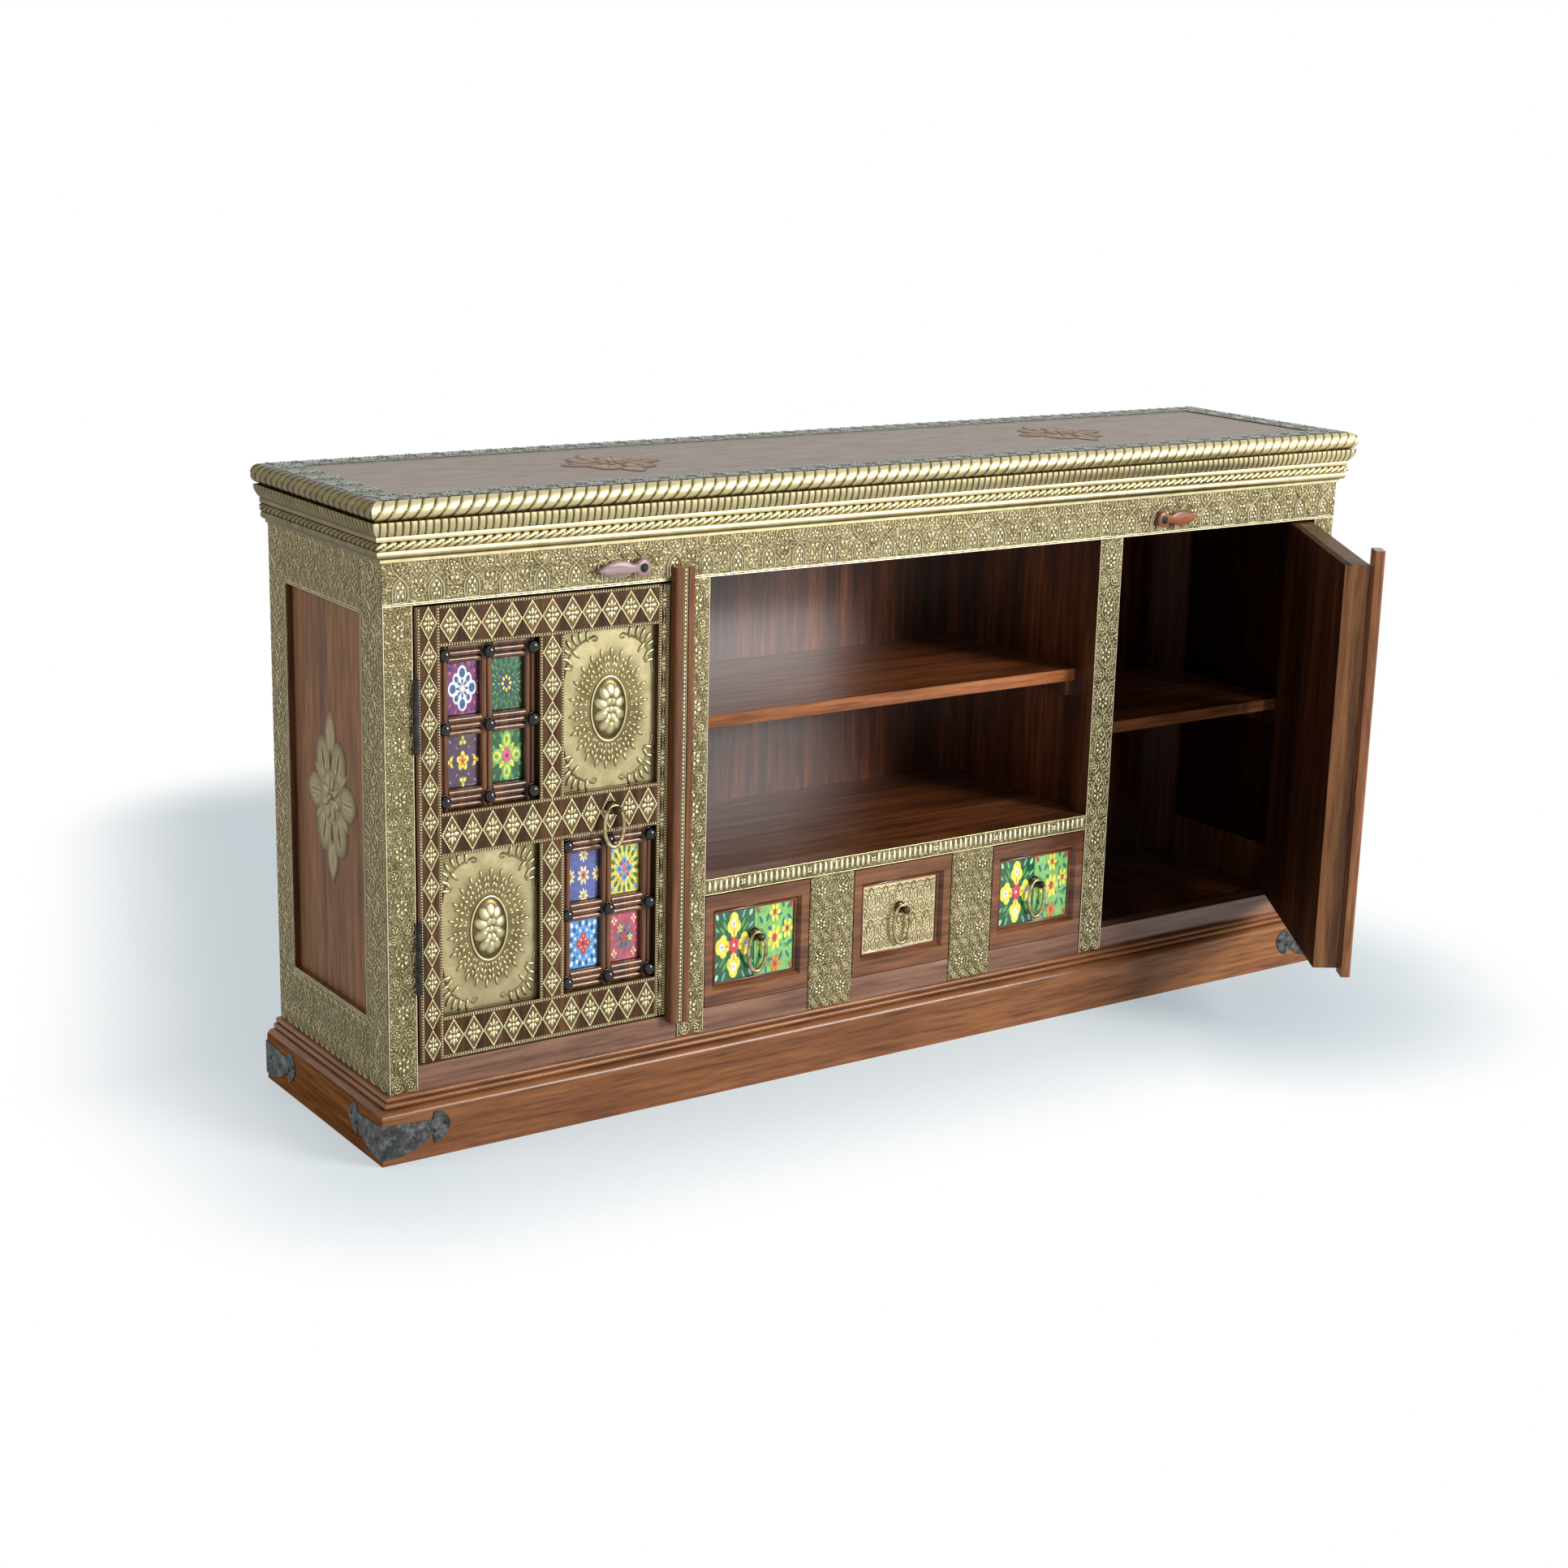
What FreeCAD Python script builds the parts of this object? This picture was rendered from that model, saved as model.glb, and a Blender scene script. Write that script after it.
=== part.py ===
import FreeCAD, Part
import math
import os

V = FreeCAD.Vector

# A brass-clad cabinet with two tiled doors, an open bay and three small drawers. Millimetres.
# X runs along the front, Y from front to back, Z up. The origin is on the floor, under the body's middle.

# Body and its boards
body_width = 1520.0
body_depth = 322.0
board_thickness = 18.0
partition_thickness = 20.0
back_thickness = 10.0
back_board_count = 7
brass_thickness = 1.0

# Plinth
plinth_height = 81.0
plinth_projection = 20.0
plinth_thickness = 42.0
plinth_round = 9.0
plinth_bead = 3.5
plinth_bead_step = 3.5
bearer_width = 60.0

# Iron corner straps on the plinth
strap_length = 90.0
strap_height = 44.0
strap_foot = 8.0
strap_thickness = 1.5

# Face frame, from the plinth up and from the corners in
face_thickness = 24.0
stile_width = 38.0
mullion_width = 40.0
bay_width = 632.0
divider_width = 70.0
bottom_rail_height = 30.0
drawer_opening_height = 152.0
bay_rail_height = 22.0
bay_height = 390.5
frieze_height = 52.5

# Side frames and panels
side_thickness = 22.0
side_front_stile = 60.0
side_rear_stile = 50.0
side_top_rail = 68.0
side_bottom_rail = 83.0
panel_thickness = 10.0
panel_recess = 7.0
panel_tongue = 8.0

# Top and crown
top_thickness = 22.0
top_back_overhang = 5.0
border_width = 36.0
border_end_width = 42.0
crown_overhang = 20.0
crown_foot_fillet = 4.0
crown_cavetto = 10.0
crown_rope = 11.0
crown_fillet = 6.0
crown_ovolo = 18.0

# Brass flowers
flower_thickness = 1.0
side_flower_width = 140.0
side_flower_height = 222.0
top_flower_width = 141.0
top_flower_depth = 166.0
top_flower_spacing = 734.0

# Shelves and cleats
middle_shelf_height = 186.0
middle_shelf_setback = 40.0
side_shelf_height = 280.0
side_shelf_setback = 60.0
shelf_thickness = 17.0
cleat_width = 15.0
cleat_height = 20.0

# Doors
door_gap = 3.0
hinge_stile_width = 32.0
lock_stile_width = 30.0
muntin_width = 33.0
door_top_rail = 49.0
door_middle_rail = 54.0
door_bottom_rail = 53.0
door_back_thickness = 10.0
door_back_board_count = 3
right_door_open_angle = 57.0

# Panels and lattices in the doors
panel_board_thickness = 15.0
medallion_width = 46.0
medallion_height = 77.0
medallion_rise = 6.0
lattice_thickness = 16.0
lattice_upright_reeds = 2
lattice_bar_reeds = 3
door_tile_thickness = 8.0
stud_radius = 7.5
stud_rise = 8.0

# Astragal on each door's free edge
astragal_width = 28.0
astragal_thickness = 13.5
astragal_standoff = 1.5
astragal_lap = 10.0
astragal_rise = 18.5
astragal_drop = 6.0
astragal_round = 4.0
astragal_channel_width = 8.0
astragal_channel_depth = 2.0

# Hinges
hinge_length = 85.0
hinge_knuckle_radius = 4.0
hinge_pin_radius = 2.0
hinge_leaf_width = 20.0
hinge_leaf_thickness = 1.2
hinge_play = 0.3
hinge_head_height = 2.0
hinge_middle_share = 0.34
hinge_height_shares = (0.24, 0.77)
running_clearance = 0.05

# Drawers
drawer_gap = 1.5
drawer_stile = 17.0
drawer_rail = 25.0
drawer_front_thickness = 20.0
drawer_recess = 8.0
drawer_bevel = 5.0
drawer_tile_thickness = 5.0
drawer_side_thickness = 10.0
drawer_side_height = 112.0
drawer_bottom_thickness = 5.0
drawer_bottom_rise = 6.0
drawer_length = 255.0
runner_width = 22.0
runner_clearance = 0.3
guide_height = 60.0

# Ring pulls
ring_width = 32.0
ring_height = 58.0
ring_wire_radius = 2.2
ring_end_radius = 9.0
ring_play = 0.15
boss_radius = 9.0
boss_height = 5.0
neck_radius = 2.4
neck_length = 6.0
ball_radius = 5.5
door_pull_rise = 4.0
drawer_pull_rise = 10.0

# Turn buttons
button_reach = 62.0
button_head_radius = 9.0
button_crest = 14.0
button_neck_width = 11.0
button_leaf_width = 16.0
button_thickness = 9.0
button_standoff = 4.0
button_setback = 45.0
button_height = 22.0
screw_radius = 2.5
screw_head_radius = 5.5
screw_head_height = 2.5
washer_radius = 6.5

# One overrun serves every cut
overrun = 5.0

# Outlines by hand, as shares of the sizes that they follow
strap_edge_shares = {
    "neck": 0.74, "hook": 0.77, "upper_neck": 0.91, "lower_neck": 0.50, "upper_hook": 1.14,
    "lower_hook": 0.22, "tip": 0.75, "upper_bow": 1.03, "lower_bow": 0.42, "bow": 0.93,
    "lower_sag": 0.14, "sag": 0.45,
}
crown_out_shares = {"foot": 0.15, "cavetto": 0.40, "rope_seat": 0.30, "fillet": 0.50, "ovolo": 0.85}
ovolo_bulge_shares = (0.80, 0.55)
cavetto_bulge_shares = (0.30, 0.62)
lattice_upright_share = 0.1132
lattice_bar_share = 0.1193
flower_disc_share = 0.50
flower_leaf_shares = {"start": 0.40, "width": 0.44}
flower_lobe_shares = {"across": 0.27, "up": 0.30, "half_width": 0.30, "half_height": 0.27}
flower_side_shares = {"across": 0.714, "half_width": 0.286, "half_height": 0.22}
button_waist_share = 0.34
button_belly_share = 0.66

# Places worked out from the sizes above
half_width = body_width / 2
half_bay = bay_width / 2
front = -body_depth / 2
back = body_depth / 2
face_y = front + brass_thickness
face_back = face_y + face_thickness
back_in = back - back_thickness
side_out = half_width - brass_thickness
side_in = side_out - side_thickness
stile_in = half_width - stile_width
mullion_out = half_bay + mullion_width
floor_top = plinth_height + board_thickness
sill = plinth_height + bottom_rail_height
drawer_top = sill + drawer_opening_height
bay_floor = drawer_top + bay_rail_height
head = bay_floor + bay_height
crown_foot = head + frieze_height
crown_height = crown_foot_fillet + crown_cavetto + crown_rope + crown_fillet + crown_ovolo
top_under = crown_foot + crown_height
top_face = top_under + top_thickness
nosing_radius = (top_thickness + brass_thickness) / 2
nosing_seat = crown_overhang - nosing_radius
drawer_width = (bay_width - 2 * divider_width) / 3
drawer_pitch = drawer_width + divider_width

# One door, closed, hung at the left: its corners and the lines inside it
door_left = -stile_in + door_gap
door_right = -mullion_out - door_gap
door_low = sill + door_gap
door_high = head - door_gap
door_back = face_back + door_back_thickness
panel_width = (door_right - door_left - hinge_stile_width - lock_stile_width - muntin_width) / 2
panel_height = (door_high - door_low - door_top_rail - door_middle_rail - door_bottom_rail) / 2
column_left = (door_left + hinge_stile_width, door_right - lock_stile_width - panel_width)
row_low = (door_low + door_bottom_rail, door_high - door_top_rail - panel_height)
lattice_upright_width = panel_width * lattice_upright_share
lattice_bar_height = panel_height * lattice_bar_share
tile_width = (panel_width - 3 * lattice_upright_width) / 2
tile_height = (panel_height - 3 * lattice_bar_height) / 2
lattice_front = face_back - lattice_thickness
panel_face = face_back - panel_board_thickness
hinge_x = -stile_in + door_gap / 2
hinge_y = front - hinge_knuckle_radius
astragal_right = -mullion_out + astragal_lap
astragal_left = astragal_right - astragal_width
astragal_back = front - astragal_standoff
astragal_front = astragal_back - astragal_thickness
astragal_low = sill - astragal_drop
astragal_high = head + astragal_rise
astragal_channel_left = (astragal_left + astragal_right - astragal_channel_width) / 2


def block(x0, x1, y0, y1, z0, z1):
    return Part.makeBox(x1 - x0, y1 - y0, z1 - z0, V(x0, y0, z0))


def mirrored(shape):
    return shape.mirror(V(0, 0, 0), V(1, 0, 0))


def both_sides(shapes):
    return shapes + [mirrored(shape) for shape in shapes]


def line(a, b):
    return Part.LineSegment(a, b).toShape()


def arc(a, middle, b):
    return Part.Arc(a, middle, b).toShape()


def face_of(edges):
    return Part.Face(Part.Wire(edges))


def polygon(points):
    return Part.Face(Part.makePolygon(points + points[:1]))


def save(name, solids):
    Part.makeCompound(solids).exportStep("parts/" + name + ".step")


def mitred_runs(section, reach, depth, low, high, back_end):
    # section(place) gives a face; place turns (out, up) into a point on the front or on the left side.
    def on_front(out, up):
        return V(-half_width - reach, front - out, up)

    def on_left(out, up):
        return V(-half_width - out, front - reach, up)

    outer = [V(-half_width - reach, front - reach, low), V(half_width + reach, front - reach, low)]
    inner = [V(half_width - depth, front + depth, low), V(-half_width + depth, front + depth, low)]
    front_plan = polygon(outer + inner).extrude(V(0, 0, high - low))
    side_plan = polygon([
        outer[0], inner[1], V(inner[1].x, back_end, low), V(outer[0].x, back_end, low),
    ]).extrude(V(0, 0, high - low))
    front_run = section(on_front).extrude(V(body_width + 2 * reach, 0, 0)).common(front_plan)
    side_run = section(on_left).extrude(V(0, back_end - front + reach, 0)).common(side_plan)
    return front_run.Solids + side_run.Solids + mirrored(side_run).Solids


def plinth_section(place):
    inner = plinth_projection - plinth_thickness
    round_low = plinth_height - plinth_round - 4 * plinth_bead
    round_out = plinth_projection - plinth_round
    bow = plinth_round * math.sqrt(0.5)
    lower_seat = round_out - plinth_bead_step
    upper_seat = lower_seat - plinth_bead_step
    first = round_low + plinth_round
    second = first + 2 * plinth_bead
    return face_of([
        line(place(inner, 0), place(plinth_projection, 0)),
        line(place(plinth_projection, 0), place(plinth_projection, round_low)),
        arc(place(plinth_projection, round_low), place(round_out + bow, round_low + bow),
            place(round_out, first)),
        line(place(round_out, first), place(lower_seat, first)),
        arc(place(lower_seat, first), place(lower_seat + plinth_bead, first + plinth_bead),
            place(lower_seat, second)),
        line(place(lower_seat, second), place(upper_seat, second)),
        arc(place(upper_seat, second), place(upper_seat + plinth_bead, second + plinth_bead),
            place(upper_seat, plinth_height)),
        line(place(upper_seat, plinth_height), place(inner, plinth_height)),
        line(place(inner, plinth_height), place(inner, 0)),
    ])


def plinth_boards():
    depth = plinth_thickness - plinth_projection
    runs = mitred_runs(plinth_section, plinth_projection + overrun, depth, 0, plinth_height, back)
    inside = half_width - depth
    rear = block(-inside, inside, back - plinth_thickness, back, 0, plinth_height)
    half_bearer = bearer_width / 2
    bearer = block(-half_bearer, half_bearer, front + depth, back - plinth_thickness, 0, plinth_height)
    return runs + [rear, bearer]


def strap_outline(start, place):
    share = strap_edge_shares

    def at(along, up):
        return place(along, strap_foot + up)

    def point(along, up):
        return at(strap_length * share[along], strap_height * share[up])

    tip = at(strap_length, strap_height * share["tip"])
    return face_of([
        line(at(start, 0), at(0, 0)),
        arc(at(0, 0), point("sag", "lower_sag"), point("neck", "lower_neck")),
        line(point("neck", "lower_neck"), point("hook", "lower_hook")),
        arc(point("hook", "lower_hook"), point("bow", "lower_bow"), tip),
        arc(tip, point("bow", "upper_bow"), point("hook", "upper_hook")),
        line(point("hook", "upper_hook"), point("neck", "upper_neck")),
        line(point("neck", "upper_neck"), at(0, strap_height)),
        line(at(0, strap_height), at(start, strap_height)),
        line(at(start, strap_height), at(start, 0)),
    ])


def corner_strap():
    # The corner stands at the origin, one leg along +X and one along +Y, both outside the corner.
    def along_x(along, up):
        return V(along, -strap_thickness, up)

    def along_y(along, up):
        return V(-strap_thickness, along, up)

    front_leg = strap_outline(-strap_thickness, along_x).extrude(V(0, strap_thickness, 0))
    side_leg = strap_outline(-strap_thickness, along_y).extrude(V(strap_thickness, 0, 0))
    return front_leg.fuse(side_leg).removeSplitter()


def plinth_corner_straps():
    at_front = corner_strap()
    at_back = at_front.mirror(V(0, 0, 0), V(0, 1, 0))
    corner_x = -half_width - plinth_projection
    at_front.translate(V(corner_x, front - plinth_projection, 0))
    at_back.translate(V(corner_x, back, 0))
    return both_sides([at_front, at_back])


def side_panel():
    outer = -side_out + panel_recess
    return block(outer, outer + panel_thickness,
                 front + side_front_stile - panel_tongue, back - side_rear_stile + panel_tongue,
                 plinth_height + side_bottom_rail - panel_tongue, crown_foot - side_top_rail + panel_tongue)


def side_frame():
    stile_back = front + side_front_stile
    rear_front = back - side_rear_stile
    members = [
        block(-side_out, -side_in, face_back, stile_back, plinth_height, top_under),
        block(-side_out, -side_in, rear_front, back, plinth_height, top_under),
        block(-side_out, -side_in, stile_back, rear_front, plinth_height, plinth_height + side_bottom_rail),
        block(-side_out, -side_in, stile_back, rear_front, crown_foot - side_top_rail, top_under),
    ]
    groove = side_panel()
    return [member.cut(groove) for member in members]


def front_stiles():
    outer = block(-side_out, -stile_in, face_y, face_back, plinth_height, top_under)
    mullion = block(-mullion_out, -half_bay, face_y, face_back, sill, head)
    return both_sides([outer, mullion])


def frieze_rail():
    return [block(-stile_in, stile_in, face_y, face_back, head, top_under)]


def open_bay_rail():
    return [block(-half_bay, half_bay, face_y, face_back, drawer_top, bay_floor)]


def drawer_dividers():
    inner = drawer_width / 2
    return both_sides([block(inner, inner + divider_width, face_y, face_back, sill, drawer_top)])


def front_bottom_rail():
    return [block(-stile_in, stile_in, face_y, face_back, plinth_height, sill)]


def brass_cladding():
    divider_in = drawer_width / 2
    stile_back = front + side_front_stile
    rear_front = back - side_rear_stile
    low = plinth_height
    rail_top = low + side_bottom_rail
    left = [
        block(-half_width, -stile_in, front, face_y, low, top_under),
        block(-mullion_out, -half_bay, front, face_y, low, head),
        block(-divider_in - divider_width, -divider_in, front, face_y, low, drawer_top),
        block(-half_width, -side_out, face_y, stile_back, low, top_under),
        block(-half_width, -side_out, rear_front, back, low, top_under),
        block(-half_width, -side_out, stile_back, rear_front, low, rail_top),
        block(-half_width, -side_out, stile_back, rear_front, crown_foot - side_top_rail, top_under),
    ]
    middle = [
        block(-stile_in, stile_in, front, face_y, head, top_under),
        block(-half_bay, half_bay, front, face_y, drawer_top, bay_floor),
    ]
    return both_sides(left) + middle


def bottom_board():
    return [block(-side_in, side_in, face_back, back_in, plinth_height, floor_top)]


def partitions():
    inner = half_bay
    return both_sides([block(inner, inner + partition_thickness, face_back, back_in, floor_top, top_under)])


def back_boards():
    width = 2 * side_in / back_board_count
    return [
        block(-side_in + width * i, -side_in + width * (i + 1), back_in, back, plinth_height, top_under)
        for i in range(back_board_count)
    ]


def open_bay_floor():
    return [block(-half_bay, half_bay, face_back, back_in, bay_floor - board_thickness, bay_floor)]


def middle_shelf():
    low = bay_floor + middle_shelf_height
    return [block(-half_bay, half_bay, front + middle_shelf_setback, back_in, low, low + shelf_thickness)]


def side_bay_shelves():
    low = floor_top + side_shelf_height
    inner = half_bay + partition_thickness
    near = front + side_shelf_setback
    return both_sides([block(inner, side_in, near, back_in, low, low + shelf_thickness)])


def shelf_cleats():
    middle_top = bay_floor + middle_shelf_height
    side_top = floor_top + side_shelf_height
    middle_front = front + middle_shelf_setback
    side_front = front + side_shelf_setback
    middle_low = middle_top - cleat_height
    side_low = side_top - cleat_height
    inner = half_bay + partition_thickness
    return both_sides([
        block(half_bay - cleat_width, half_bay, middle_front, back_in, middle_low, middle_top),
        block(inner, inner + cleat_width, side_front, back_in, side_low, side_top),
        block(side_in - cleat_width, side_in, side_front, back_in, side_low, side_top),
    ])


def drawer_runners():
    high = sill + drawer_gap - runner_clearance
    pieces = []
    for place in (-1, 0, 1):
        left = place * drawer_pitch - drawer_width / 2
        right = left + drawer_width
        pieces.append(block(left, left + runner_width, face_back, back_in, floor_top, high))
        pieces.append(block(right - runner_width, right, face_back, back_in, floor_top, high))
    inner = drawer_width / 2
    guide = block(inner, inner + divider_width, face_back, back_in, floor_top, floor_top + guide_height)
    return pieces + both_sides([guide])


def top_board():
    reach = half_width + nosing_seat
    return [block(-reach, reach, front - nosing_seat, back + top_back_overhang, top_under, top_face)]


def top_brass_border():
    reach = half_width + nosing_seat
    field = reach - border_end_width
    near = front - nosing_seat
    far = back + top_back_overhang
    high = top_face + brass_thickness
    return [
        block(-reach, reach, near, near + border_width, top_face, high),
        block(-reach, reach, far - border_width, far, top_face, high),
    ] + both_sides([block(field, reach, near + border_width, far - border_width, top_face, high)])


def crown_section(place):
    out = {name: crown_overhang * share for name, share in crown_out_shares.items()}
    cavetto_low = crown_foot + crown_foot_fillet
    rope_low = cavetto_low + crown_cavetto
    fillet_low = rope_low + crown_rope
    ovolo_low = fillet_low + crown_fillet
    bulge_out, bulge_up = ovolo_bulge_shares
    sweep_out, sweep_up = cavetto_bulge_shares
    cavetto_run = out["cavetto"] - out["foot"]
    ovolo_run = out["ovolo"] - out["fillet"]
    rope_radius = crown_rope / 2
    return face_of([
        line(place(0, crown_foot), place(out["foot"], crown_foot)),
        line(place(out["foot"], crown_foot), place(out["foot"], cavetto_low)),
        arc(place(out["foot"], cavetto_low),
            place(out["foot"] + cavetto_run * sweep_out, cavetto_low + crown_cavetto * sweep_up),
            place(out["cavetto"], rope_low)),
        line(place(out["cavetto"], rope_low), place(out["rope_seat"], rope_low)),
        arc(place(out["rope_seat"], rope_low),
            place(out["rope_seat"] + rope_radius, rope_low + rope_radius),
            place(out["rope_seat"], fillet_low)),
        line(place(out["rope_seat"], fillet_low), place(out["fillet"], fillet_low)),
        line(place(out["fillet"], fillet_low), place(out["fillet"], ovolo_low)),
        arc(place(out["fillet"], ovolo_low),
            place(out["fillet"] + ovolo_run * bulge_out, ovolo_low + crown_ovolo * bulge_up),
            place(out["ovolo"], top_under)),
        line(place(out["ovolo"], top_under), place(0, top_under)),
        line(place(0, top_under), place(0, crown_foot)),
    ])


def nosing_section(place):
    low = place(nosing_seat, top_under)
    high = place(nosing_seat, top_face + brass_thickness)
    return face_of([arc(low, place(crown_overhang, top_under + nosing_radius), high), line(high, low)])


def crown_mouldings():
    reach = crown_overhang + overrun
    crown = mitred_runs(crown_section, reach, 0, crown_foot, top_under, back)
    nosing = mitred_runs(nosing_section, reach, 0, top_under, top_face + brass_thickness,
                         back + top_back_overhang)
    return crown + nosing


def pointed_leaf(start, reach, width, turn):
    base = V(start, 0, 0)
    tip = V(reach, 0, 0)
    middle = (start + reach) / 2
    edges = [arc(base, V(middle, -width / 2, 0), tip), arc(tip, V(middle, width / 2, 0), base)]
    leaf = face_of(edges).extrude(V(0, 0, flower_thickness))
    leaf.rotate(V(0, 0, 0), V(0, 0, 1), turn)
    return leaf


def oval_lobe(x, y, half_across, half_up):
    across = V(x + half_across, y, 0)
    up = V(x, y + half_up, 0)
    longer, shorter = (up, across) if half_up > half_across else (across, up)
    curve = Part.Ellipse(longer, shorter, V(x, y, 0))
    return face_of([curve.toShape()]).extrude(V(0, 0, flower_thickness))


def flower(across, up):
    # A pointed leaf above and below, four broad lobes between them and one more to each side.
    half_across = across / 2
    half_up = up / 2
    leaf, lobe, side = flower_leaf_shares, flower_lobe_shares, flower_side_shares
    shape = Part.makeCylinder(half_across * flower_disc_share, flower_thickness)
    for turn in (90, -90):
        shape = shape.fuse(pointed_leaf(half_up * leaf["start"], half_up, half_across * leaf["width"], turn))
    for x_sign in (-1, 1):
        shape = shape.fuse(oval_lobe(x_sign * half_across * side["across"], 0,
                                     half_across * side["half_width"], half_up * side["half_height"]))
        for y_sign in (-1, 1):
            shape = shape.fuse(oval_lobe(x_sign * half_across * lobe["across"], y_sign * half_up * lobe["up"],
                                         half_across * lobe["half_width"], half_up * lobe["half_height"]))
    return shape.removeSplitter()


def brass_flowers():
    on_side = flower(side_flower_width, side_flower_height)
    on_side.rotate(V(0, 0, 0), V(1, 0, 0), 90)
    on_side.rotate(V(0, 0, 0), V(0, 0, 1), -90)
    panel_low = plinth_height + side_bottom_rail
    panel_high = crown_foot - side_top_rail
    panel_middle = (front + side_front_stile + back - side_rear_stile) / 2
    on_side.translate(V(-side_out + panel_recess, panel_middle, (panel_low + panel_high) / 2))
    on_top = flower(top_flower_width, top_flower_depth)
    top_middle = (front - nosing_seat + back + top_back_overhang) / 2
    on_top.translate(V(-top_flower_spacing / 2, top_middle, top_face))
    return both_sides([on_side, on_top])


def door_rail_spans():
    low, high = row_low
    return ((door_low, low), (low + panel_height, high), (high + panel_height, door_high))


def door_frame():
    # Two stiles, three rails, two muntins, and the boards that carry the two brass panels.
    left, right = column_left
    inner_left = door_left + hinge_stile_width
    inner_right = door_right - lock_stile_width
    muntin_left = left + panel_width
    members = [
        block(door_left, inner_left, face_y, face_back, door_low, door_high),
        block(inner_right, door_right, face_y, face_back, door_low, door_high),
    ]
    for rail_low, rail_high in door_rail_spans():
        members.append(block(inner_left, inner_right, face_y, face_back, rail_low, rail_high))
    for row in row_low:
        members.append(block(muntin_left, right, face_y, face_back, row, row + panel_height))
    for column, row in brass_panel_places():
        members.append(block(column, column + panel_width, panel_face, face_back, row, row + panel_height))
    return members


def brass_panel_places():
    return ((column_left[1], row_low[1]), (column_left[0], row_low[0]))


def lattice_places():
    return ((column_left[0], row_low[1]), (column_left[1], row_low[0]))


def door_back_boards():
    width = (door_right - door_left) / door_back_board_count
    return [
        block(door_left + width * i, door_left + width * (i + 1), face_back, door_back, door_low, door_high)
        for i in range(door_back_board_count)
    ]


def reeded_section(place, width, reeds):
    # place(across, deep) gives a point; the reeds are half rounds side by side on the front.
    radius = width / reeds / 2
    neck = lattice_thickness - radius
    edges = [
        line(place(0, neck), place(0, 0)),
        line(place(0, 0), place(width, 0)),
        line(place(width, 0), place(width, neck)),
    ]
    for i in range(reeds):
        right = width - 2 * radius * i
        left = right - 2 * radius
        edges.append(arc(place(right, neck), place(right - radius, lattice_thickness), place(left, neck)))
    return face_of(edges)


def lattice_bars():
    bars = []
    for column, row in lattice_places():
        for i in range(3):
            left = column + i * (lattice_upright_width + tile_width)

            def upright(across, deep, left=left, row=row):
                return V(left + across, face_back - deep, row)

            section = reeded_section(upright, lattice_upright_width, lattice_upright_reeds)
            bars.append(section.extrude(V(0, 0, panel_height)))
        for i in range(2):
            left = column + lattice_upright_width + i * (lattice_upright_width + tile_width)
            for j in range(3):
                low = row + j * (lattice_bar_height + tile_height)

                def level(across, deep, left=left, low=low):
                    return V(left, face_back - deep, low + across)

                section = reeded_section(level, lattice_bar_height, lattice_bar_reeds)
                bars.append(section.extrude(V(tile_width, 0, 0)))
    return bars


def stud():
    # A dome with a flat back, standing out towards -Y from the origin.
    sphere_radius = (stud_radius ** 2 + stud_rise ** 2) / (2 * stud_rise)
    ball = Part.makeSphere(sphere_radius, V(0, sphere_radius - stud_rise, 0))
    side = 2 * sphere_radius
    return ball.common(block(-side, side, -side, 0, -side, side))


def door_studs():
    dome = stud()
    studs = []
    for column, row in lattice_places():
        for i in range(3):
            for j in range(3):
                x = column + lattice_upright_width / 2 + i * (lattice_upright_width + tile_width)
                z = row + lattice_bar_height / 2 + j * (lattice_bar_height + tile_height)
                studs.append(dome.translated(V(x, lattice_front, z)))
    return studs


def door_tiles():
    tiles = []
    for column, row in lattice_places():
        for i in range(2):
            for j in range(2):
                x = column + lattice_upright_width + i * (lattice_upright_width + tile_width)
                z = row + lattice_bar_height + j * (lattice_bar_height + tile_height)
                tiles.append(block(x, x + tile_width, face_back - door_tile_thickness, face_back,
                                   z, z + tile_height))
    return tiles


def medallion():
    scale = FreeCAD.Matrix()
    scale.scale(V(medallion_width / 2, medallion_rise, medallion_height / 2))
    dome = Part.makeSphere(1).transformGeometry(scale)
    return dome.common(block(-medallion_width, medallion_width, -medallion_rise, 0,
                             -medallion_height, medallion_height))


def door_brass_sheets():
    left, right = column_left
    inner_left = door_left + hinge_stile_width
    inner_right = door_right - lock_stile_width
    sheets = [
        block(door_left, inner_left, front, face_y, door_low, door_high),
        block(inner_right, astragal_left, front, face_y, door_low, door_high),
    ]
    for rail_low, rail_high in door_rail_spans():
        sheets.append(block(inner_left, inner_right, front, face_y, rail_low, rail_high))
    for row in row_low:
        sheets.append(block(left + panel_width, right, front, face_y, row, row + panel_height))
    sheet_front = panel_face - brass_thickness
    for column, row in brass_panel_places():
        sheet = block(column, column + panel_width, sheet_front, panel_face, row, row + panel_height)
        dome = medallion().translated(V(column + panel_width / 2, sheet_front, row + panel_height / 2))
        sheets.append(sheet.fuse(dome).removeSplitter())
    channel_floor = astragal_front + astragal_channel_depth
    sheets.append(block(astragal_channel_left, astragal_channel_left + astragal_channel_width,
                        channel_floor - brass_thickness, channel_floor, astragal_low, astragal_high))
    return sheets


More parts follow.
